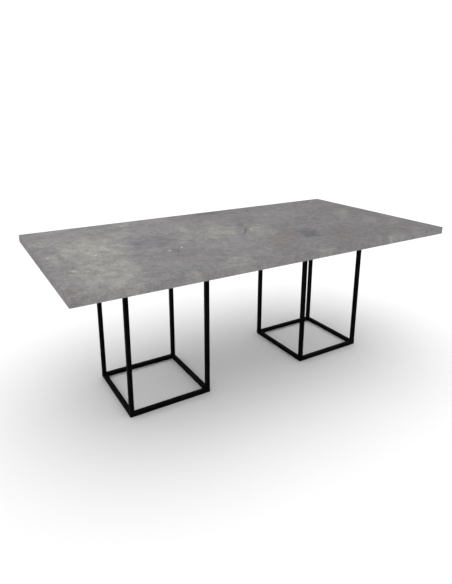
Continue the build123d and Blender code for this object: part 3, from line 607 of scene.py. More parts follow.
# %% [markdown]
# ### The rim and the back
# The thin edge band is a separate strip on the real board, so a hairline of glue shows just inside the
# rim, and the sharp rim itself is rubbed a little paler. The side that faces down, or into the fold of
# the leaf, has the dark grey backing sheet that keeps a board flat, with fine paper fibres in it.

# %% Mark the rim and the back
RUBBED_WIDTH = 1.6 * MM
GLUE_WIDTH = 0.25 * MM


def rim_marks(tree, position, colour):
    """Rub the rim paler and draw the glue line just inside it."""
    x, y, z = split(tree, position)
    end_gap = calc(tree, "SUBTRACT", half_length, calc(tree, "ABSOLUTE", x))
    side_gap = calc(tree, "SUBTRACT", half_width, calc(tree, "ABSOLUTE", y))
    rim_gap = calc(tree, "MINIMUM", end_gap, side_gap)
    from_top = calc(tree, "SUBTRACT", top_z, z)
    rubbed = worn_edge(tree, position, rim_gap, from_top, RUBBED_WIDTH)
    colour = tint(tree, calc(tree, "MULTIPLY", rubbed, 0.35), colour, TONES["olive"])
    glue = calc(tree, "ABSOLUTE", calc(tree, "SUBTRACT", rim_gap, band))
    glue = fade(tree, glue, GLUE_WIDTH, 0.0, low=0.0, high=0.5)
    return tint(tree, glue, colour, TONES["scrape"])


def backing_sheet(tree, position, look, colour):
    """Cover the faces that look down, or into the leaf's fold, with the backing."""
    above_fold = calc(tree, "GREATER_THAN", split(tree, position)[2], fold_z)
    side = calc(tree, "MULTIPLY_ADD", above_fold, 2.0, -1.0)
    hidden = calc(tree, "LESS_THAN", calc(tree, "MULTIPLY", look, side), -0.5)
    fibres = fade(tree, lines(tree, position, (30.0, 900.0, 30.0)), 0.35, 0.65, low=0.0, high=0.4)
    return tint(tree, hidden, colour, tint(tree, fibres, BACKING, BACKING_FIBRE))


print(f"rubbed {RUBBED_WIDTH / MM:.1f} mm, glue line {GLUE_WIDTH / MM:.2f} mm")

# %% [markdown]
# ### The finished laminate
# The board and its edge strips share the print. The strips have no backing, and their upright faces are
# painted lighter as painted light. The relief is shallow, because a laminate only hints at trowel strokes:
# strokes, mottling and pits share one height. It is nearly matt, and the strips are the most matt of all.

# %% Build the laminate finish
TROWEL_RELIEF = 0.25 * MM


def trowel_height(tree, wrapped, mottling):
    """The height of the strokes, the mottling and the pits."""
    strokes = lines(tree, wrapped, (40.0, 140.0, 40.0), detail=5.0)
    pits = specks(tree, wrapped, scale=60.0, size=0.10, share=0.12)
    height = calc(tree, "MULTIPLY_ADD", strokes, 0.5, calc(tree, "MULTIPLY", mottling, 0.6))
    return calc(tree, "SUBTRACT", height, calc(tree, "MULTIPLY", pits, 0.5))


def laminate_finish(name, backed):
    """The concrete look: boards have a backing sheet, and edge strips have painted light on their upright
    faces.
    """
    material, tree, shader, place = new_finish(name)
    position = place.outputs["Object"]
    look = split(tree, place.outputs["Normal"])[2]
    shade = fade(tree, split(tree, position)[0], *SHADE_PLACES, *SHADE_LEVELS)
    if not backed:
        # Painted light: upright faces of the strips get a fixed lighter level in place of the darkening
        # along X.
        upright = calc(tree, "LESS_THAN", calc(tree, "ABSOLUTE", look), 0.5)
        shade = put(tree, "Mix", {0: upright, 2: shade, 3: UPRIGHT_PAINTED_LIGHT}).outputs[0]
    colour, mottling, wrapped = mottled_print(tree, position, shade)
    colour = rim_marks(tree, position, colour)
    if backed:
        colour = backing_sheet(tree, position, look, colour)
    roughness = fade(tree, mottling, 0.3, 0.7, low=0.80, high=0.66)
    connect(tree, shader, Base_Color=colour, Roughness=roughness)
    shader.inputs["Specular IOR Level"].default_value = 0.10 if backed else 0.02
    rough_bump(tree, shader, trowel_height(tree, wrapped, mottling), strength=0.30, depth=TROWEL_RELIEF)
    return material


finishes["concrete_laminate"] = laminate_finish("trowelled_laminate", True)
edging_painted_light_finish = laminate_finish("trowelled_edging_painted_light", False)
print("laminate nodes", len(finishes["concrete_laminate"].node_tree.nodes))

# %% [markdown]
# ## Black powder coat
# The bases are welded square tube under a matt black powder coat. It takes almost no light, so the
# finish lives in small things: the orange-peel skin of baked powder, slightly thinner coat along the
# tube's edges, dust on what faces up, scuffs near the floor and the dressed weld line at each mitre.
# The tube's edges are found from its centre line, once for the posts and once for the square frames.

# %% Find the tubes' edges
COAT = (0.0016, 0.0016, 0.0017, 1.0)
COAT_PALE = (0.0034, 0.0034, 0.0036, 1.0)
COAT_WORN = (0.0105, 0.0103, 0.0100, 1.0)
COAT_DUST = (0.0085, 0.0083, 0.0080, 1.0)
LEVELS = (frame_low + tube / 2, post_high + tube / 2)


def from_base(tree, position):
    """How far a point is from its base's middle, along X and along Y."""
    x, y = split(tree, position)[:2]
    across_x = calc(tree, "ABSOLUTE", calc(tree, "SUBTRACT", calc(tree, "ABSOLUTE", x), base_x))
    return across_x, calc(tree, "ABSOLUTE", y)


def face_gaps(tree, position, shape):
    """How far a point is from the side faces of its tube, on a post or on a square frame."""
    across = from_base(tree, position)
    if shape == "posts":
        offsets = [calc(tree, "SUBTRACT", one, tube_line) for one in across]
    else:
        ring = calc(tree, "SUBTRACT", calc(tree, "MAXIMUM", *across), tube_line)
        height = split(tree, position)[2]
        drops = [calc(tree, "ABSOLUTE", calc(tree, "SUBTRACT", height, level)) for level in LEVELS]
        offsets = [ring, calc(tree, "MINIMUM", *drops)]
    return [calc(tree, "SUBTRACT", tube / 2, calc(tree, "ABSOLUTE", offset)) for offset in offsets]


print("tube middles at", [round(level, 3) for level in LEVELS], "m")

# %% [markdown]
# ### Wear, weld lines and scuffs
# The coat is rubbed paler along a tube's edges. At each mitre of a square frame there is a ground weld
# line, which lies where both distances from the base's middle are the same. Shoes and a vacuum cleaner
# scuff only the lowest hand's breadth, so the scuffs fade out above it.

# %% Wear the coat
COAT_WEAR = 1.4 * MM
WELD_LINE = 1.2 * MM
SCUFF_TOP = 90 * MM
SCUFF_FOOT = 5 * MM


def tube_wear(tree, position, shape, colour):
    """Rub the coat paler along the edges of the tubes."""
    worn = worn_edge(tree, position, *face_gaps(tree, position, shape), COAT_WEAR)
    return tint(tree, calc(tree, "MULTIPLY", worn, 0.55), colour, COAT_WORN)


def weld_lines(tree, position):
    """A mask of the mitres."""
    mitre = calc(tree, "ABSOLUTE", calc(tree, "SUBTRACT", *from_base(tree, position)))
    return fade(tree, mitre, WELD_LINE, 0.0)


def scuffed(tree, position, colour):
    """Scuff the coat near the floor."""
    low_down = fade(tree, split(tree, position)[2], SCUFF_TOP, SCUFF_FOOT)
    scuff = fade(tree, lines(tree, position, (60.0, 60.0, 420.0)), 0.60, 0.72)
    scuff = calc(tree, "MULTIPLY", scuff, low_down)
    return tint(tree, calc(tree, "MULTIPLY", scuff, 0.5), colour, COAT_WORN)


print(f"scuffs up to {SCUFF_TOP / MM:.0f} mm")

# %% [markdown]
# ### The coat itself
# Baked powder is never quite one black, so clouds of a paler black lie under everything. Its skin is
# like orange peel, with a nib here and there, and that same skin breaks up the gloss. Small parts such
# as straps and plates skip the marks of the tubes.

# %% Build the powder coat
PEEL_RELIEF = 0.08 * MM


def coat_finish(name, shape):
    """Powder coat on posts, on square frames, or on small parts."""
    material, tree, shader, place = new_finish(name)
    position = place.outputs["Object"]
    colour = tint(tree, clouds(tree, position, scale=14.0, start=0.35, end=0.7), COAT, COAT_PALE)
    peel = put(tree, "TexNoise", {"Vector": position, "Scale": 700.0, "Detail": 2.0}).outputs[0]
    height = calc(tree, "MULTIPLY", peel, 0.6)
    if shape != "small":
        colour = tube_wear(tree, position, shape, colour)
    if shape == "frames":
        mitre = weld_lines(tree, position)
        height = calc(tree, "MULTIPLY_ADD", mitre, 0.8, height)
        colour = tint(tree, calc(tree, "MULTIPLY", mitre, 0.4), colour, COAT_PALE)
    colour = scuffed(tree, position, colour)
    colour = tint(tree, calc(tree, "MULTIPLY", dust(tree, place), 0.35), colour, COAT_DUST)
    nibs = specks(tree, position, scale=240.0, size=0.16, share=0.04)
    height = calc(tree, "MULTIPLY_ADD", nibs, 0.6, height)
    connect(tree, shader, Base_Color=colour, Roughness=fade(tree, peel, 0.3, 0.7, low=0.48, high=0.66))
    shader.inputs["Specular IOR Level"].default_value = 0.012
    rough_bump(tree, shader, height, strength=0.4, depth=PEEL_RELIEF)
    return material


finishes["black_powder_coat"] = coat_finish("powder_coat_small", "small")
post_finish = coat_finish("powder_coat_posts", "posts")
frame_finish = coat_finish("powder_coat_frames", "frames")
print("powder coats", post_finish.name, frame_finish.name)

# %% [markdown]
# ## Rail aluminium
# The rails and racks are extruded and left as they come from the die, with fine lines along their
# length. Their ends are sawn, so the lines there run another way, which the face's own direction tells.
# A plain grey metal would look like a mirror, so lines, dull patches and rubbed spots break it up.

# %% Rail aluminium
ALUMINIUM = (0.50, 0.51, 0.52, 1.0)
ALUMINIUM_BRIGHT = (0.66, 0.67, 0.68, 1.0)
ALUMINIUM_DULL = (0.40, 0.40, 0.39, 1.0)
ALUMINIUM_RUBBED = (0.30, 0.30, 0.29, 1.0)
DIE_RELIEF = 0.05 * MM


def rail_finish():
    """Extruded aluminium with die lines, sawn ends and dull patches."""
    material, tree, shader, place = new_finish("mill_aluminium")
    position = place.outputs["Object"]
    die = lines(tree, position, (1.5, 1300.0, 1300.0))
    ends = calc(tree, "ABSOLUTE", split(tree, place.outputs["Normal"])[0])
    ends = calc(tree, "GREATER_THAN", ends, 0.8)
    sawn = lines(tree, position, (200.0, 2400.0, 160.0))
    height = put(tree, "Mix", {0: ends, 2: die, 3: sawn}).outputs[0]
    dull = clouds(tree, position, scale=11.0, start=0.42, end=0.70)
    colour = tint(tree, fade(tree, height, 0.3, 0.7), ALUMINIUM, ALUMINIUM_BRIGHT)
    colour = tint(tree, calc(tree, "MULTIPLY", dull, 0.45), colour, ALUMINIUM_DULL)
    rub = specks(tree, position, scale=90.0, size=0.10, share=0.10)
    colour = tint(tree, calc(tree, "MULTIPLY", rub, 0.5), colour, ALUMINIUM_RUBBED)
    connect(tree, shader, Base_Color=colour, Roughness=fade(tree, dull, 0.0, 1.0, low=0.30, high=0.48))
    shader.inputs["Metallic"].default_value = 1.0
    rough_bump(tree, shader, height, strength=0.35, depth=DIE_RELIEF)
    return material


finishes["rail_aluminium"] = rail_finish()
print("finish", finishes["rail_aluminium"].name)

# %% [markdown]
# ## Zinc plated steel
# The bars, screws, hooks and the bracket are steel with a thin bright zinc plate. It has a faint cloudy
# spangle of small crystals, for which a smooth Voronoi texture is the closest match, a yellowish trace
# of the last bath, and darker spots where it has been rubbed.

# %% Zinc plated steel
ZINC = (0.42, 0.43, 0.45, 1.0)
ZINC_BRIGHT = (0.58, 0.59, 0.61, 1.0)
ZINC_YELLOW = (0.52, 0.49, 0.38, 1.0)
ZINC_RUBBED = (0.24, 0.23, 0.22, 1.0)
ZINC_DUST = (0.30, 0.29, 0.27, 1.0)
PLATE_RELIEF = 0.04 * MM


def zinc_finish():
    """Zinc on steel: spangled tone, faint yellow passivation and rubbed spots."""
    material, tree, shader, place = new_finish("zinc_plate")
    position = place.outputs["Object"]
    spangle = put(tree, "TexVoronoi", {"Vector": position, "Scale": 230.0}, feature="SMOOTH_F1")
    spangle_tone = put(tree, "SeparateColor", {"Color": spangle.outputs["Color"]}).outputs[0]
    colour = tint(tree, spangle_tone, ZINC, ZINC_BRIGHT)
    yellow = clouds(tree, position, scale=60.0, start=0.45, end=0.7)
    colour = tint(tree, calc(tree, "MULTIPLY", yellow, 0.5), colour, ZINC_YELLOW)
    rubbed = clouds(tree, position, scale=240.0, start=0.58, end=0.72)
    colour = tint(tree, calc(tree, "MULTIPLY", rubbed, 0.5), colour, ZINC_RUBBED)
    dusty = dust(tree, place, scale=90.0)
    colour = tint(tree, calc(tree, "MULTIPLY", dusty, 0.25), colour, ZINC_DUST)
    height = calc(tree, "MULTIPLY_ADD", lines(tree, position, (8.0, 700.0, 700.0)), 0.5, spangle_tone)
    roughness = fade(tree, spangle_tone, 0.0, 1.0, low=0.30, high=0.46)
    connect(tree, shader, Base_Color=colour, Roughness=roughness)
    shader.inputs["Metallic"].default_value = 1.0
    rough_bump(tree, shader, height, strength=0.30, depth=PLATE_RELIEF)
    return material


finishes["zinc_steel"] = zinc_finish()
print("finish", finishes["zinc_steel"].name)

# %% [markdown]
# ## Turned brass
# The threaded inserts are turned from brass rod and screwed into the boards. The lathe leaves rings
# round them, so the drawn lines are squeezed along Z here, and brown tarnish gathers in clouds.

# %% Turned brass
BRASS = (0.46, 0.29, 0.09, 1.0)
BRASS_BRIGHT = (0.62, 0.43, 0.17, 1.0)
BRASS_TARNISH = (0.20, 0.12, 0.05, 1.0)
RING_RELIEF = 0.05 * MM


def brass_finish():
    """Brass inserts with turning rings and tarnish."""
    material, tree, shader, place = new_finish("turned_brass")
    position = place.outputs["Object"]
    rings = lines(tree, position, (20.0, 20.0, 1800.0))
    tarnish = clouds(tree, position, scale=130.0, start=0.42, end=0.68)
    colour = tint(tree, fade(tree, rings, 0.35, 0.65), BRASS, BRASS_BRIGHT)
    colour = tint(tree, calc(tree, "MULTIPLY", tarnish, 0.6), colour, BRASS_TARNISH)
    roughness = fade(tree, tarnish, 0.0, 1.0, low=0.26, high=0.50)
    connect(tree, shader, Base_Color=colour, Roughness=roughness)
    shader.inputs["Metallic"].default_value = 1.0
    rough_bump(tree, shader, rings, strength=0.4, depth=RING_RELIEF)
    return material


finishes["insert_brass"] = brass_finish()
print("finish", finishes["insert_brass"].name)

# %% [markdown]
# ## Grease on the pinion
# A nylon pinion that runs on metal racks is packed with grease, which stays between its teeth, darker
# and shinier than the nylon. The teeth start at a share of the pinion's reach from its axle, so the
# distance from the axle makes the mask, and clouds make it patchy.

# %% Find the greased teeth
GREASE = (0.34, 0.25, 0.10, 1.0)
GREASE_SHARES = (0.68, 0.86)
pinion_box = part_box("sync_pinion")
pinion_x = (pinion_box[0][0] + pinion_box[1][0]) / 2
pinion_y = (pinion_box[0][1] + pinion_box[1][1]) / 2
pinion_reach = (pinion_box[1][0] - pinion_box[0][0]) / 2


def grease_film(tree, position):
    """A patchy film from the roots of the pinion's teeth outwards."""
    around = vector_calc(tree, "SUBTRACT", position, (pinion_x, pinion_y, 0.0))
    flat = vector_calc(tree, "MULTIPLY", around, (1.0, 1.0, 0.0))
    reach = vector_calc(tree, "LENGTH", flat)
    film = fade(tree, reach, *[share * pinion_reach for share in GREASE_SHARES])
    return calc(tree, "MULTIPLY", film, clouds(tree, position, scale=160.0, start=0.30, end=0.60))


print(f"pinion reach {pinion_reach / MM:.1f} mm at y {pinion_y:.3f} m")

# %% [markdown]
# ## Nylon
# The guides, sleeves and the pinion are natural nylon, an ivory white. Real nylon lets a little light
# in, so its shader has a small share of subsurface light, which keeps it from looking like chalk. The
# pinion has its own version of it, with the grease.

# %% Moulded nylon
NYLON = (0.60, 0.58, 0.51, 1.0)
NYLON_PALE = (0.68, 0.66, 0.60, 1.0)
NYLON_GREY = (0.30, 0.29, 0.27, 1.0)
MOULD_RELIEF = 0.04 * MM


def nylon_finish(name, greased):
    """Natural nylon with flow marks, and grease round a gear's teeth."""
    material, tree, shader, place = new_finish(name)
    position = place.outputs["Object"]
    flow = clouds(tree, position, scale=70.0, start=0.35, end=0.65)
    colour = tint(tree, flow, NYLON, NYLON_PALE)
    grey = clouds(tree, position, scale=200.0, start=0.56, end=0.74)
    colour = tint(tree, calc(tree, "MULTIPLY", grey, 0.35), colour, NYLON_GREY)
    roughness = fade(tree, flow, 0.0, 1.0, low=0.38, high=0.52)
    if greased:
        film = grease_film(tree, position)
        colour = tint(tree, calc(tree, "MULTIPLY", film, 0.75), colour, GREASE)
        roughness = calc(tree, "MULTIPLY_ADD", film, -0.26, roughness)
    grain = put(tree, "TexNoise", {"Vector": position, "Scale": 1500.0, "Detail": 2.0}).outputs[0]
    connect(tree, shader, Base_Color=colour, Roughness=roughness)
    shader.inputs["Subsurface Weight"].default_value = 0.12
    shader.inputs["Subsurface Radius"].default_value = (0.002, 0.0018, 0.0014)
    height = calc(tree, "MULTIPLY_ADD", flow, 0.4, grain)
    rough_bump(tree, shader, height, strength=0.25, depth=MOULD_RELIEF)
    return material


finishes["guide_nylon"] = nylon_finish("natural_nylon", False)
pinion_finish = nylon_finish("greased_nylon", True)
print("nylon", finishes["guide_nylon"].name, pinion_finish.name)

# %% [markdown]
# ## Black polythene and rubber
# The glides are black moulded polythene with the fine texture of a spark-eroded mould, and the leaf
# rests on black rubber pads with ribs across them. Both are one function, because only the tone and the
# ribs differ. The ribs are a sine wave in the relief, too fine to be worth modelling.

# %% Black polythene and rubber
GLIDE_TONES = ((0.012, 0.012, 0.013, 1.0), (0.026, 0.026, 0.027, 1.0))
PAD_TONES = ((0.010, 0.010, 0.010, 1.0), (0.020, 0.019, 0.018, 1.0))
MOULDING_DUST = (0.09, 0.085, 0.08, 1.0)
RIB_PITCH = 1.5 * MM
TEXTURE_RELIEF = 0.08 * MM


def black_moulding(name, tones, ribbed):
    """A black moulding: fine texture, a pale bloom and dust; the rubber has ribs across it."""
    material, tree, shader, place = new_finish(name)
    position = place.outputs["Object"]
    bloom = clouds(tree, position, scale=90.0, start=0.40, end=0.72)
    colour = tint(tree, bloom, *tones)
    dusty = dust(tree, place, scale=120.0)
    colour = tint(tree, calc(tree, "MULTIPLY", dusty, 0.5), colour, MOULDING_DUST)
    texture = put(tree, "TexNoise", {"Vector": position, "Scale": 1400.0, "Detail": 2.0}).outputs[0]
    pits = specks(tree, position, scale=420.0, size=0.22, share=0.30)
    height = calc(tree, "SUBTRACT", texture, calc(tree, "MULTIPLY", pits, 0.6))
    if ribbed:
        turn = calc(tree, "MULTIPLY", split(tree, position)[1], 2 * math.pi / RIB_PITCH)
        height = calc(tree, "MULTIPLY_ADD", calc(tree, "SINE", turn), 0.4, height)
    connect(tree, shader, Base_Color=colour, Roughness=fade(tree, bloom, 0.0, 1.0, low=0.62, high=0.82))
    rough_bump(tree, shader, height, strength=0.5, depth=TEXTURE_RELIEF)
    return material


finishes["glide_plastic"] = black_moulding("glide_polythene", GLIDE_TONES, False)
finishes["black_rubber"] = black_moulding("pad_rubber", PAD_TONES, True)
print("mouldings", finishes["glide_plastic"].name, finishes["black_rubber"].name)

# %% [markdown]
# ## Beech
# The dowels and the strips that pack out the racks are beech: a warm, even pink-brown with fine grain
# along the piece and many short dark flecks, the cut ends of its rays. The grain is drawn lines at two
# scales, and the flecks are a tighter noise with only its peaks kept.

# %% Beech
BEECH = (0.44, 0.255, 0.135, 1.0)
BEECH_PALE = (0.56, 0.365, 0.215, 1.0)
BEECH_LINE = (0.34, 0.18, 0.09, 1.0)
BEECH_FLECK = (0.22, 0.10, 0.05, 1.0)
GRAIN_RELIEF = 0.08 * MM


def beech_finish():
    """Planed beech with grain along X."""
    material, tree, shader, place = new_finish("planed_beech")
    position = place.outputs["Object"]
    broad = fade(tree, lines(tree, position, (2.5, 120.0, 90.0), detail=4.0), 0.32, 0.68)
    fine = lines(tree, position, (12.0, 1500.0, 1500.0))
    colour = tint(tree, broad, BEECH, BEECH_PALE)
    colour = tint(tree, fade(tree, fine, 0.40, 0.75, low=0.0, high=0.5), colour, BEECH_LINE)
    flecks = fade(tree, lines(tree, position, (160.0, 1600.0, 900.0), detail=1.0), 0.66, 0.74)
    colour = tint(tree, calc(tree, "MULTIPLY", flecks, 0.7), colour, BEECH_FLECK)
    connect(tree, shader, Base_Color=colour, Roughness=fade(tree, fine, 0.3, 0.7, low=0.46, high=0.62))
    rough_bump(tree, shader, calc(tree, "SUBTRACT", fine, flecks), strength=0.35, depth=GRAIN_RELIEF)
    return material


finishes["beech"] = beech_finish()
print("finishes", sorted(finishes))

# %% [markdown]
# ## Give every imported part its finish
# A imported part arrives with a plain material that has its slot's name. That name picks the finish here.
# The posts, the square frames and the pinion have their own version of their slot's finish.

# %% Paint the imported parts
OWN_FINISH = {"posts": post_finish, "floor_frame": frame_finish, "top_frame": frame_finish,
              "sync_pinion": pinion_finish}
plain_materials = set()
for name, part in sorted(nodes.items()):
    plain = part.data.materials[0]
    plain_materials.add(plain)
    chosen = finishes[plain.name]
    for ending, own in OWN_FINISH.items():
        if name.endswith(ending):
            chosen = own
    part.data.materials.clear()
    part.data.materials.append(chosen)
for plain in plain_materials:
    bpy.data.materials.remove(plain)
print("painted", len(nodes), "parts")

# %% [markdown]
# ## Edge banding with eased edges
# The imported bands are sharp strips. A cabinet maker trims a glued band flush and then eases its outer
# arris with a file, so that it doesn't cut a hand or chip. Each strip starts as a cube, is scaled to
# its place, and gets a small rounded bevel on the edges that show. The edges at the seam stay sharp,
# because two halves have to meet in a hairline.

# %% Make a block and ease it
EASING = 0.7 * MM
EASING_STEPS = 3
SAME_PLACE = 0.01 * MM


def add_block(mesh, low, high):
    """A block between two corners, and its vertices."""
    made = bmesh.ops.create_cube(mesh, size=1.0)["verts"]
    low, high = Vector(low), Vector(high)
    bmesh.ops.scale(mesh, vec=high - low, verts=made)
    bmesh.ops.translate(mesh, vec=(low + high) / 2, verts=made)
    return made


def ease(mesh, shown_planes):
    """Round every edge where two of these planes meet. A plane is an axis and its place on it."""
    chosen = []
    for edge in mesh.edges:
        touching = 0
        for axis, at in shown_planes:
            if all(abs(vert.co[axis] - at) < SAME_PLACE for vert in edge.verts):
                touching += 1
        if touching >= 2:
            chosen.append(edge)
    bmesh.ops.bevel(mesh, geom=chosen, offset=EASING, segments=EASING_STEPS, profile=0.5,
                    affect="EDGES", material=-1)


print(f"easing {EASING / MM:.1f} mm in {EASING_STEPS} steps")

# %% [markdown]
# ### From a bmesh to an object
# A bmesh is only a workbench. A strip or a drop of weld is finished on its own bench and then joined to
# the others through a plain mesh, and the whole becomes an object that sits at the origin, as every
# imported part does, with its place in its mesh.

# %% Join pieces and make an object
def join(mesh, part):
    """Add one finished bmesh to another, and free it."""
    holder = bpy.data.meshes.new("holder")
    part.to_mesh(holder)
    part.free()
    mesh.from_mesh(holder)
    bpy.data.meshes.remove(holder)


def as_object(mesh, name, finish):
    """Turn a bmesh into an object at the origin with a finish."""
    data = bpy.data.meshes.new(name)
    mesh.to_mesh(data)
    mesh.free()
    data.materials.append(finish)
    made = bpy.data.objects.new(name, data)
    bpy.context.scene.collection.objects.link(made)
    return made


print("join and as_object ready")

# %% [markdown]
# ### Holes for dowels
# The dowels of one half slide into sleeves in the other, through round holes in the edge bands. A drill
# is a cylinder for each hole, all in one object, and a Boolean modifier takes them out of the strip,
# because that leaves clean round holes in a strip that already has its bevel. The result becomes the
# strip's own mesh, and the drill is thrown away.

# %% Cut round holes
HOLE_SPARE = 1.0 * MM
DRILL_SIDES = 32


def bore(piece, holes):
    """Cut holes along X: each is its middle (x, y, z), a length and a radius."""
    drill = bmesh.new()
    for place, length, radius in holes:
        turned = Matrix.Translation(place) @ Matrix.Rotation(math.pi / 2, 4, "Y")
        bmesh.ops.create_cone(drill, cap_ends=True, segments=DRILL_SIDES, radius1=radius,
                              radius2=radius, depth=length, matrix=turned)
    cutter = as_object(drill, piece.name + "_drill", edging_painted_light_finish)
    cut = piece.modifiers.new("bore", "BOOLEAN")
    cut.operation = "DIFFERENCE"
    cut.solver = "EXACT"
    cut.object = cutter
    depsgraph = bpy.context.evaluated_depsgraph_get()
    whole = piece.data
    piece.data = bpy.data.meshes.new_from_object(piece.evaluated_get(depsgraph))
    piece.modifiers.clear()
    bpy.data.meshes.remove(whole)
    drill_mesh = cutter.data
    bpy.data.objects.remove(cutter)
    bpy.data.meshes.remove(drill_mesh)


print("drill sides", DRILL_SIDES)

# %% [markdown]
# ### Four strips round a board
# A maker glues the short strips first, trims them, and then covers their ends with the long ones. Each
# strip is built and eased alone, and only then joined to the others in one mesh. If they were eased
# together, the bevel would also touch the edges where two strips meet.

# %% Band a board
def band_board(mesh, low, high, shown_planes):
    """Four strips round a board: the long ones cover the short ones' ends."""
    x0, y0, z0 = low
    x1, y1, z1 = high
    strips = [((x0, y0, z0), (x1, y0 + band, z1)),
              ((x0, y1 - band, z0), (x1, y1, z1)),
              ((x0, y0 + band, z0), (x0 + band, y1 - band, z1)),
              ((x1 - band, y0 + band, z0), (x1, y1 - band, z1))]
    for strip_low, strip_high in strips:
        strip = bmesh.new()
        add_block(strip, strip_low, strip_high)
        ease(strip, shown_planes)
        join(mesh, strip)


print(f"strips are {band / MM:.1f} mm thick")

# %% [markdown]
# ### The bands of both halves
# Each half is banded to the box of its packed bands, and its outer edges are eased, which are those
# where the end, the two sides and the faces above and below meet. The left half has dowels, and the
# right half has sleeves, which need wider holes. The places are those of the boards behind, measured
# from the middle of the table.

# %% Band the halves
DOWEL_RADIUS = 4.05 * MM
SLEEVE_RADIUS = 6.05 * MM
DOWEL_PLACES = (150 * MM, 400 * MM)
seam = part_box("right_edge_bands")[0][0]
middle_z = (under_z + top_z) / 2
rim = [(1, half_width), (1, -half_width), (2, top_z), (2, under_z)]
for side, half in ((-1, "left"), (1, "right")):
    bands = bmesh.new()
    low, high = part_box(f"{half}_edge_bands")
    band_board(bands, low, high, rim + [(0, side * half_length)])
    edging = as_object(bands, f"{half}_edging", edging_painted_light_finish)
    radius = DOWEL_RADIUS if side < 0 else SLEEVE_RADIUS
    middle_x = side * (seam + band / 2)
    places = [(middle_x, sign * place, middle_z) for place in DOWEL_PLACES for sign in (-1, 1)]
    bore(edging, [(place, band + 2 * HOLE_SPARE, radius) for place in places])
    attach(edging, f"{half}_half")
    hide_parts(f"{half}_edge_bands")
    print(edging.name, len(edging.data.polygons), "faces")

# %% [markdown]
# ### The bands of the folded leaf
# The leaf's two boards are banded in the same way. Their outer faces, which are the table's face once
# the leaf is laid in, are eased where they will meet the rim. Folding turns the upper board over, so
# the holes of both boards are measured from the fold and fall in line.

# %% Band the leaf
leaf_bands = bmesh.new()
leaf_holes = []
leaf_low, leaf_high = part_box("leaf_edge_bands")
fold_y = leaf_high[1] + seam
for board in ("leaf_lower_board", "leaf_upper_board"):
    board_low, board_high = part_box(board)
    low = (leaf_low[0], leaf_low[1], board_low[2])
    high = (leaf_high[0], leaf_high[1], board_high[2])
    band_board(leaf_bands, low, high, [(1, low[1]), (2, low[2]), (2, high[2])])
    for place in DOWEL_PLACES:
        at = (fold_y - place, (board_low[2] + board_high[2]) / 2)
        leaf_holes.append(((high[0] - band / 2, *at), band + 2 * HOLE_SPARE, DOWEL_RADIUS))
        leaf_holes.append(((low[0] + band / 2, *at), band + 2 * HOLE_SPARE, SLEEVE_RADIUS))
leaf_edging = as_object(leaf_bands, "leaf_edging", edging_painted_light_finish)
bore(leaf_edging, leaf_holes)
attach(leaf_edging, "carriage")
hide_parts("leaf_edge_bands")
print(leaf_edging.name, len(leaf_edging.data.polygons), "faces", len(leaf_holes), "holes")

# %% [markdown]
# ## Weld beads
# The outer faces of a cube frame are ground flush before coating, but the welds on the inner sides of
# the posts are left as they are. A hand-made bead is a row of overlapping ripples, each one a drop of
# metal that froze before the next. One drop is a squashed ball, cut by two planes to the corner that
# it fills.

# %% Make one ripple
BEAD_RADIUS = 2.6 * MM
BEAD_SQUASH = 0.62
CUT_TOLERANCE = 0.001 * MM


def whole(mesh):
    """Everything in a bmesh, as its operators want it."""
    return mesh.verts[:] + mesh.edges[:] + mesh.faces[:]


def add_ripple(mesh, along, size):
    """A squashed ball cut to the corner of a post's inner face and the tube under it, along Y."""
    ball = bmesh.new()
    bmesh.ops.create_uvsphere(ball, u_segments=12, v_segments=8, radius=BEAD_RADIUS * size)
    bmesh.ops.scale(ball, vec=(1.0, BEAD_SQUASH, 1.0), verts=ball.verts)
    for normal in ((-1.0, 0.0, 0.0), (0.0, 0.0, 1.0)):
        bmesh.ops.bisect_plane(ball, geom=whole(ball), plane_co=(0.0, 0.0, 0.0), plane_no=normal,
                               clear_inner=True, dist=CUT_TOLERANCE)
        rims = [edge for edge in ball.edges if edge.is_boundary]
        bmesh.ops.holes_fill(ball, edges=rims, sides=0)
    bmesh.ops.recalc_face_normals(ball, faces=ball.faces)
    bmesh.ops.translate(ball, vec=(0.0, along, 0.0), verts=ball.verts)
    join(mesh, ball)


print(f"bead radius {BEAD_RADIUS / MM:.1f} mm")

# %% [markdown]
# ### One bead and its twin
# A row of drops, none quite the same size, makes one bead along the foot of a post's inner face. A post
# in a corner has two inner faces, so a copy with X and Y swapped lies on the other one. The sizes are
# drawn from a random series with a fixed seed, so every run lays the same bead.

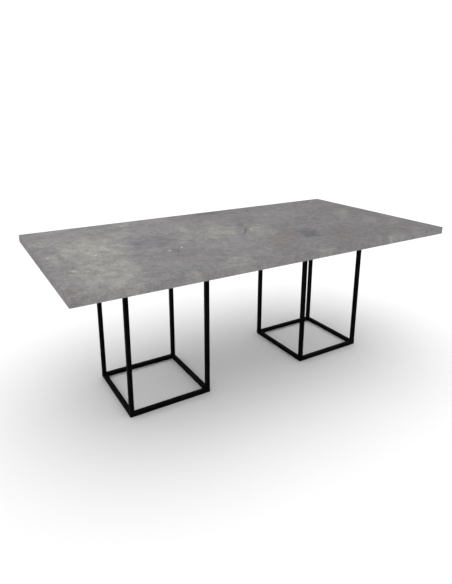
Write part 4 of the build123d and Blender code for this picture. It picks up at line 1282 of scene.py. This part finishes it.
# %% Lay a bead on two faces
RIPPLE_STEP = 1.7 * MM
BEAD_SPARE = 3 * MM
DROP_SIZES = (0.88, 1.08)
SWAP_X_Y = Matrix(((0.0, 1.0, 0.0), (1.0, 0.0, 0.0), (0.0, 0.0, 1.0))).to_4x4()
welder = random.Random(7)


def copied_verts(mesh):
    """Duplicate everything in a bmesh, and give the copy's vertices."""
    copied = bmesh.ops.duplicate(mesh, geom=whole(mesh))["geom"]
    return [item for item in copied if isinstance(item, bmesh.types.BMVert)]


def add_beads(mesh):
    """A bead on each of the two inner faces of the post at +X, +Y."""
    count = int((tube - BEAD_SPARE) / RIPPLE_STEP)
    for index in range(count):
        along = (index - (count - 1) / 2) * RIPPLE_STEP
        add_ripple(mesh, along, welder.uniform(*DROP_SIZES))
    bmesh.ops.translate(mesh, vec=(base_half - tube, tube_line, 0.0), verts=mesh.verts)
    bmesh.ops.transform(mesh, matrix=SWAP_X_Y, verts=copied_verts(mesh))


print("drops are", RIPPLE_STEP / MM, "mm apart")

# %% [markdown]
# ### Beads on every post
# Spin with duplicates turns both beads to the four posts. The upper ends have the same beads the other
# way up, so a copy is scaled by -1 in height and lifted. Such a copy, and the swapped one, are inside
# out, so the normals are worked out again at the end.

# %% Lay the beads on both bases
for side, half in ((-1, "left"), (1, "right")):
    beads = bmesh.new()
    add_beads(beads)
    bmesh.ops.spin(beads, geom=whole(beads), cent=(0.0, 0.0, 0.0), axis=(0.0, 0.0, 1.0),
                   angle=math.radians(270), steps=3, use_duplicate=True)
    upper_verts = copied_verts(beads)
    bmesh.ops.scale(beads, vec=(1.0, 1.0, -1.0), verts=upper_verts)
    bmesh.ops.translate(beads, vec=(0.0, 0.0, post_high - post_low), verts=upper_verts)
    bmesh.ops.translate(beads, vec=(side * base_x, 0.0, post_low), verts=beads.verts)
    bmesh.ops.recalc_face_normals(beads, faces=beads.faces)
    weld = as_object(beads, f"{half}_weld_beads", finishes["black_powder_coat"])
    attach(weld, f"{half}_half")
    print(weld.name, len(weld.data.polygons), "faces")
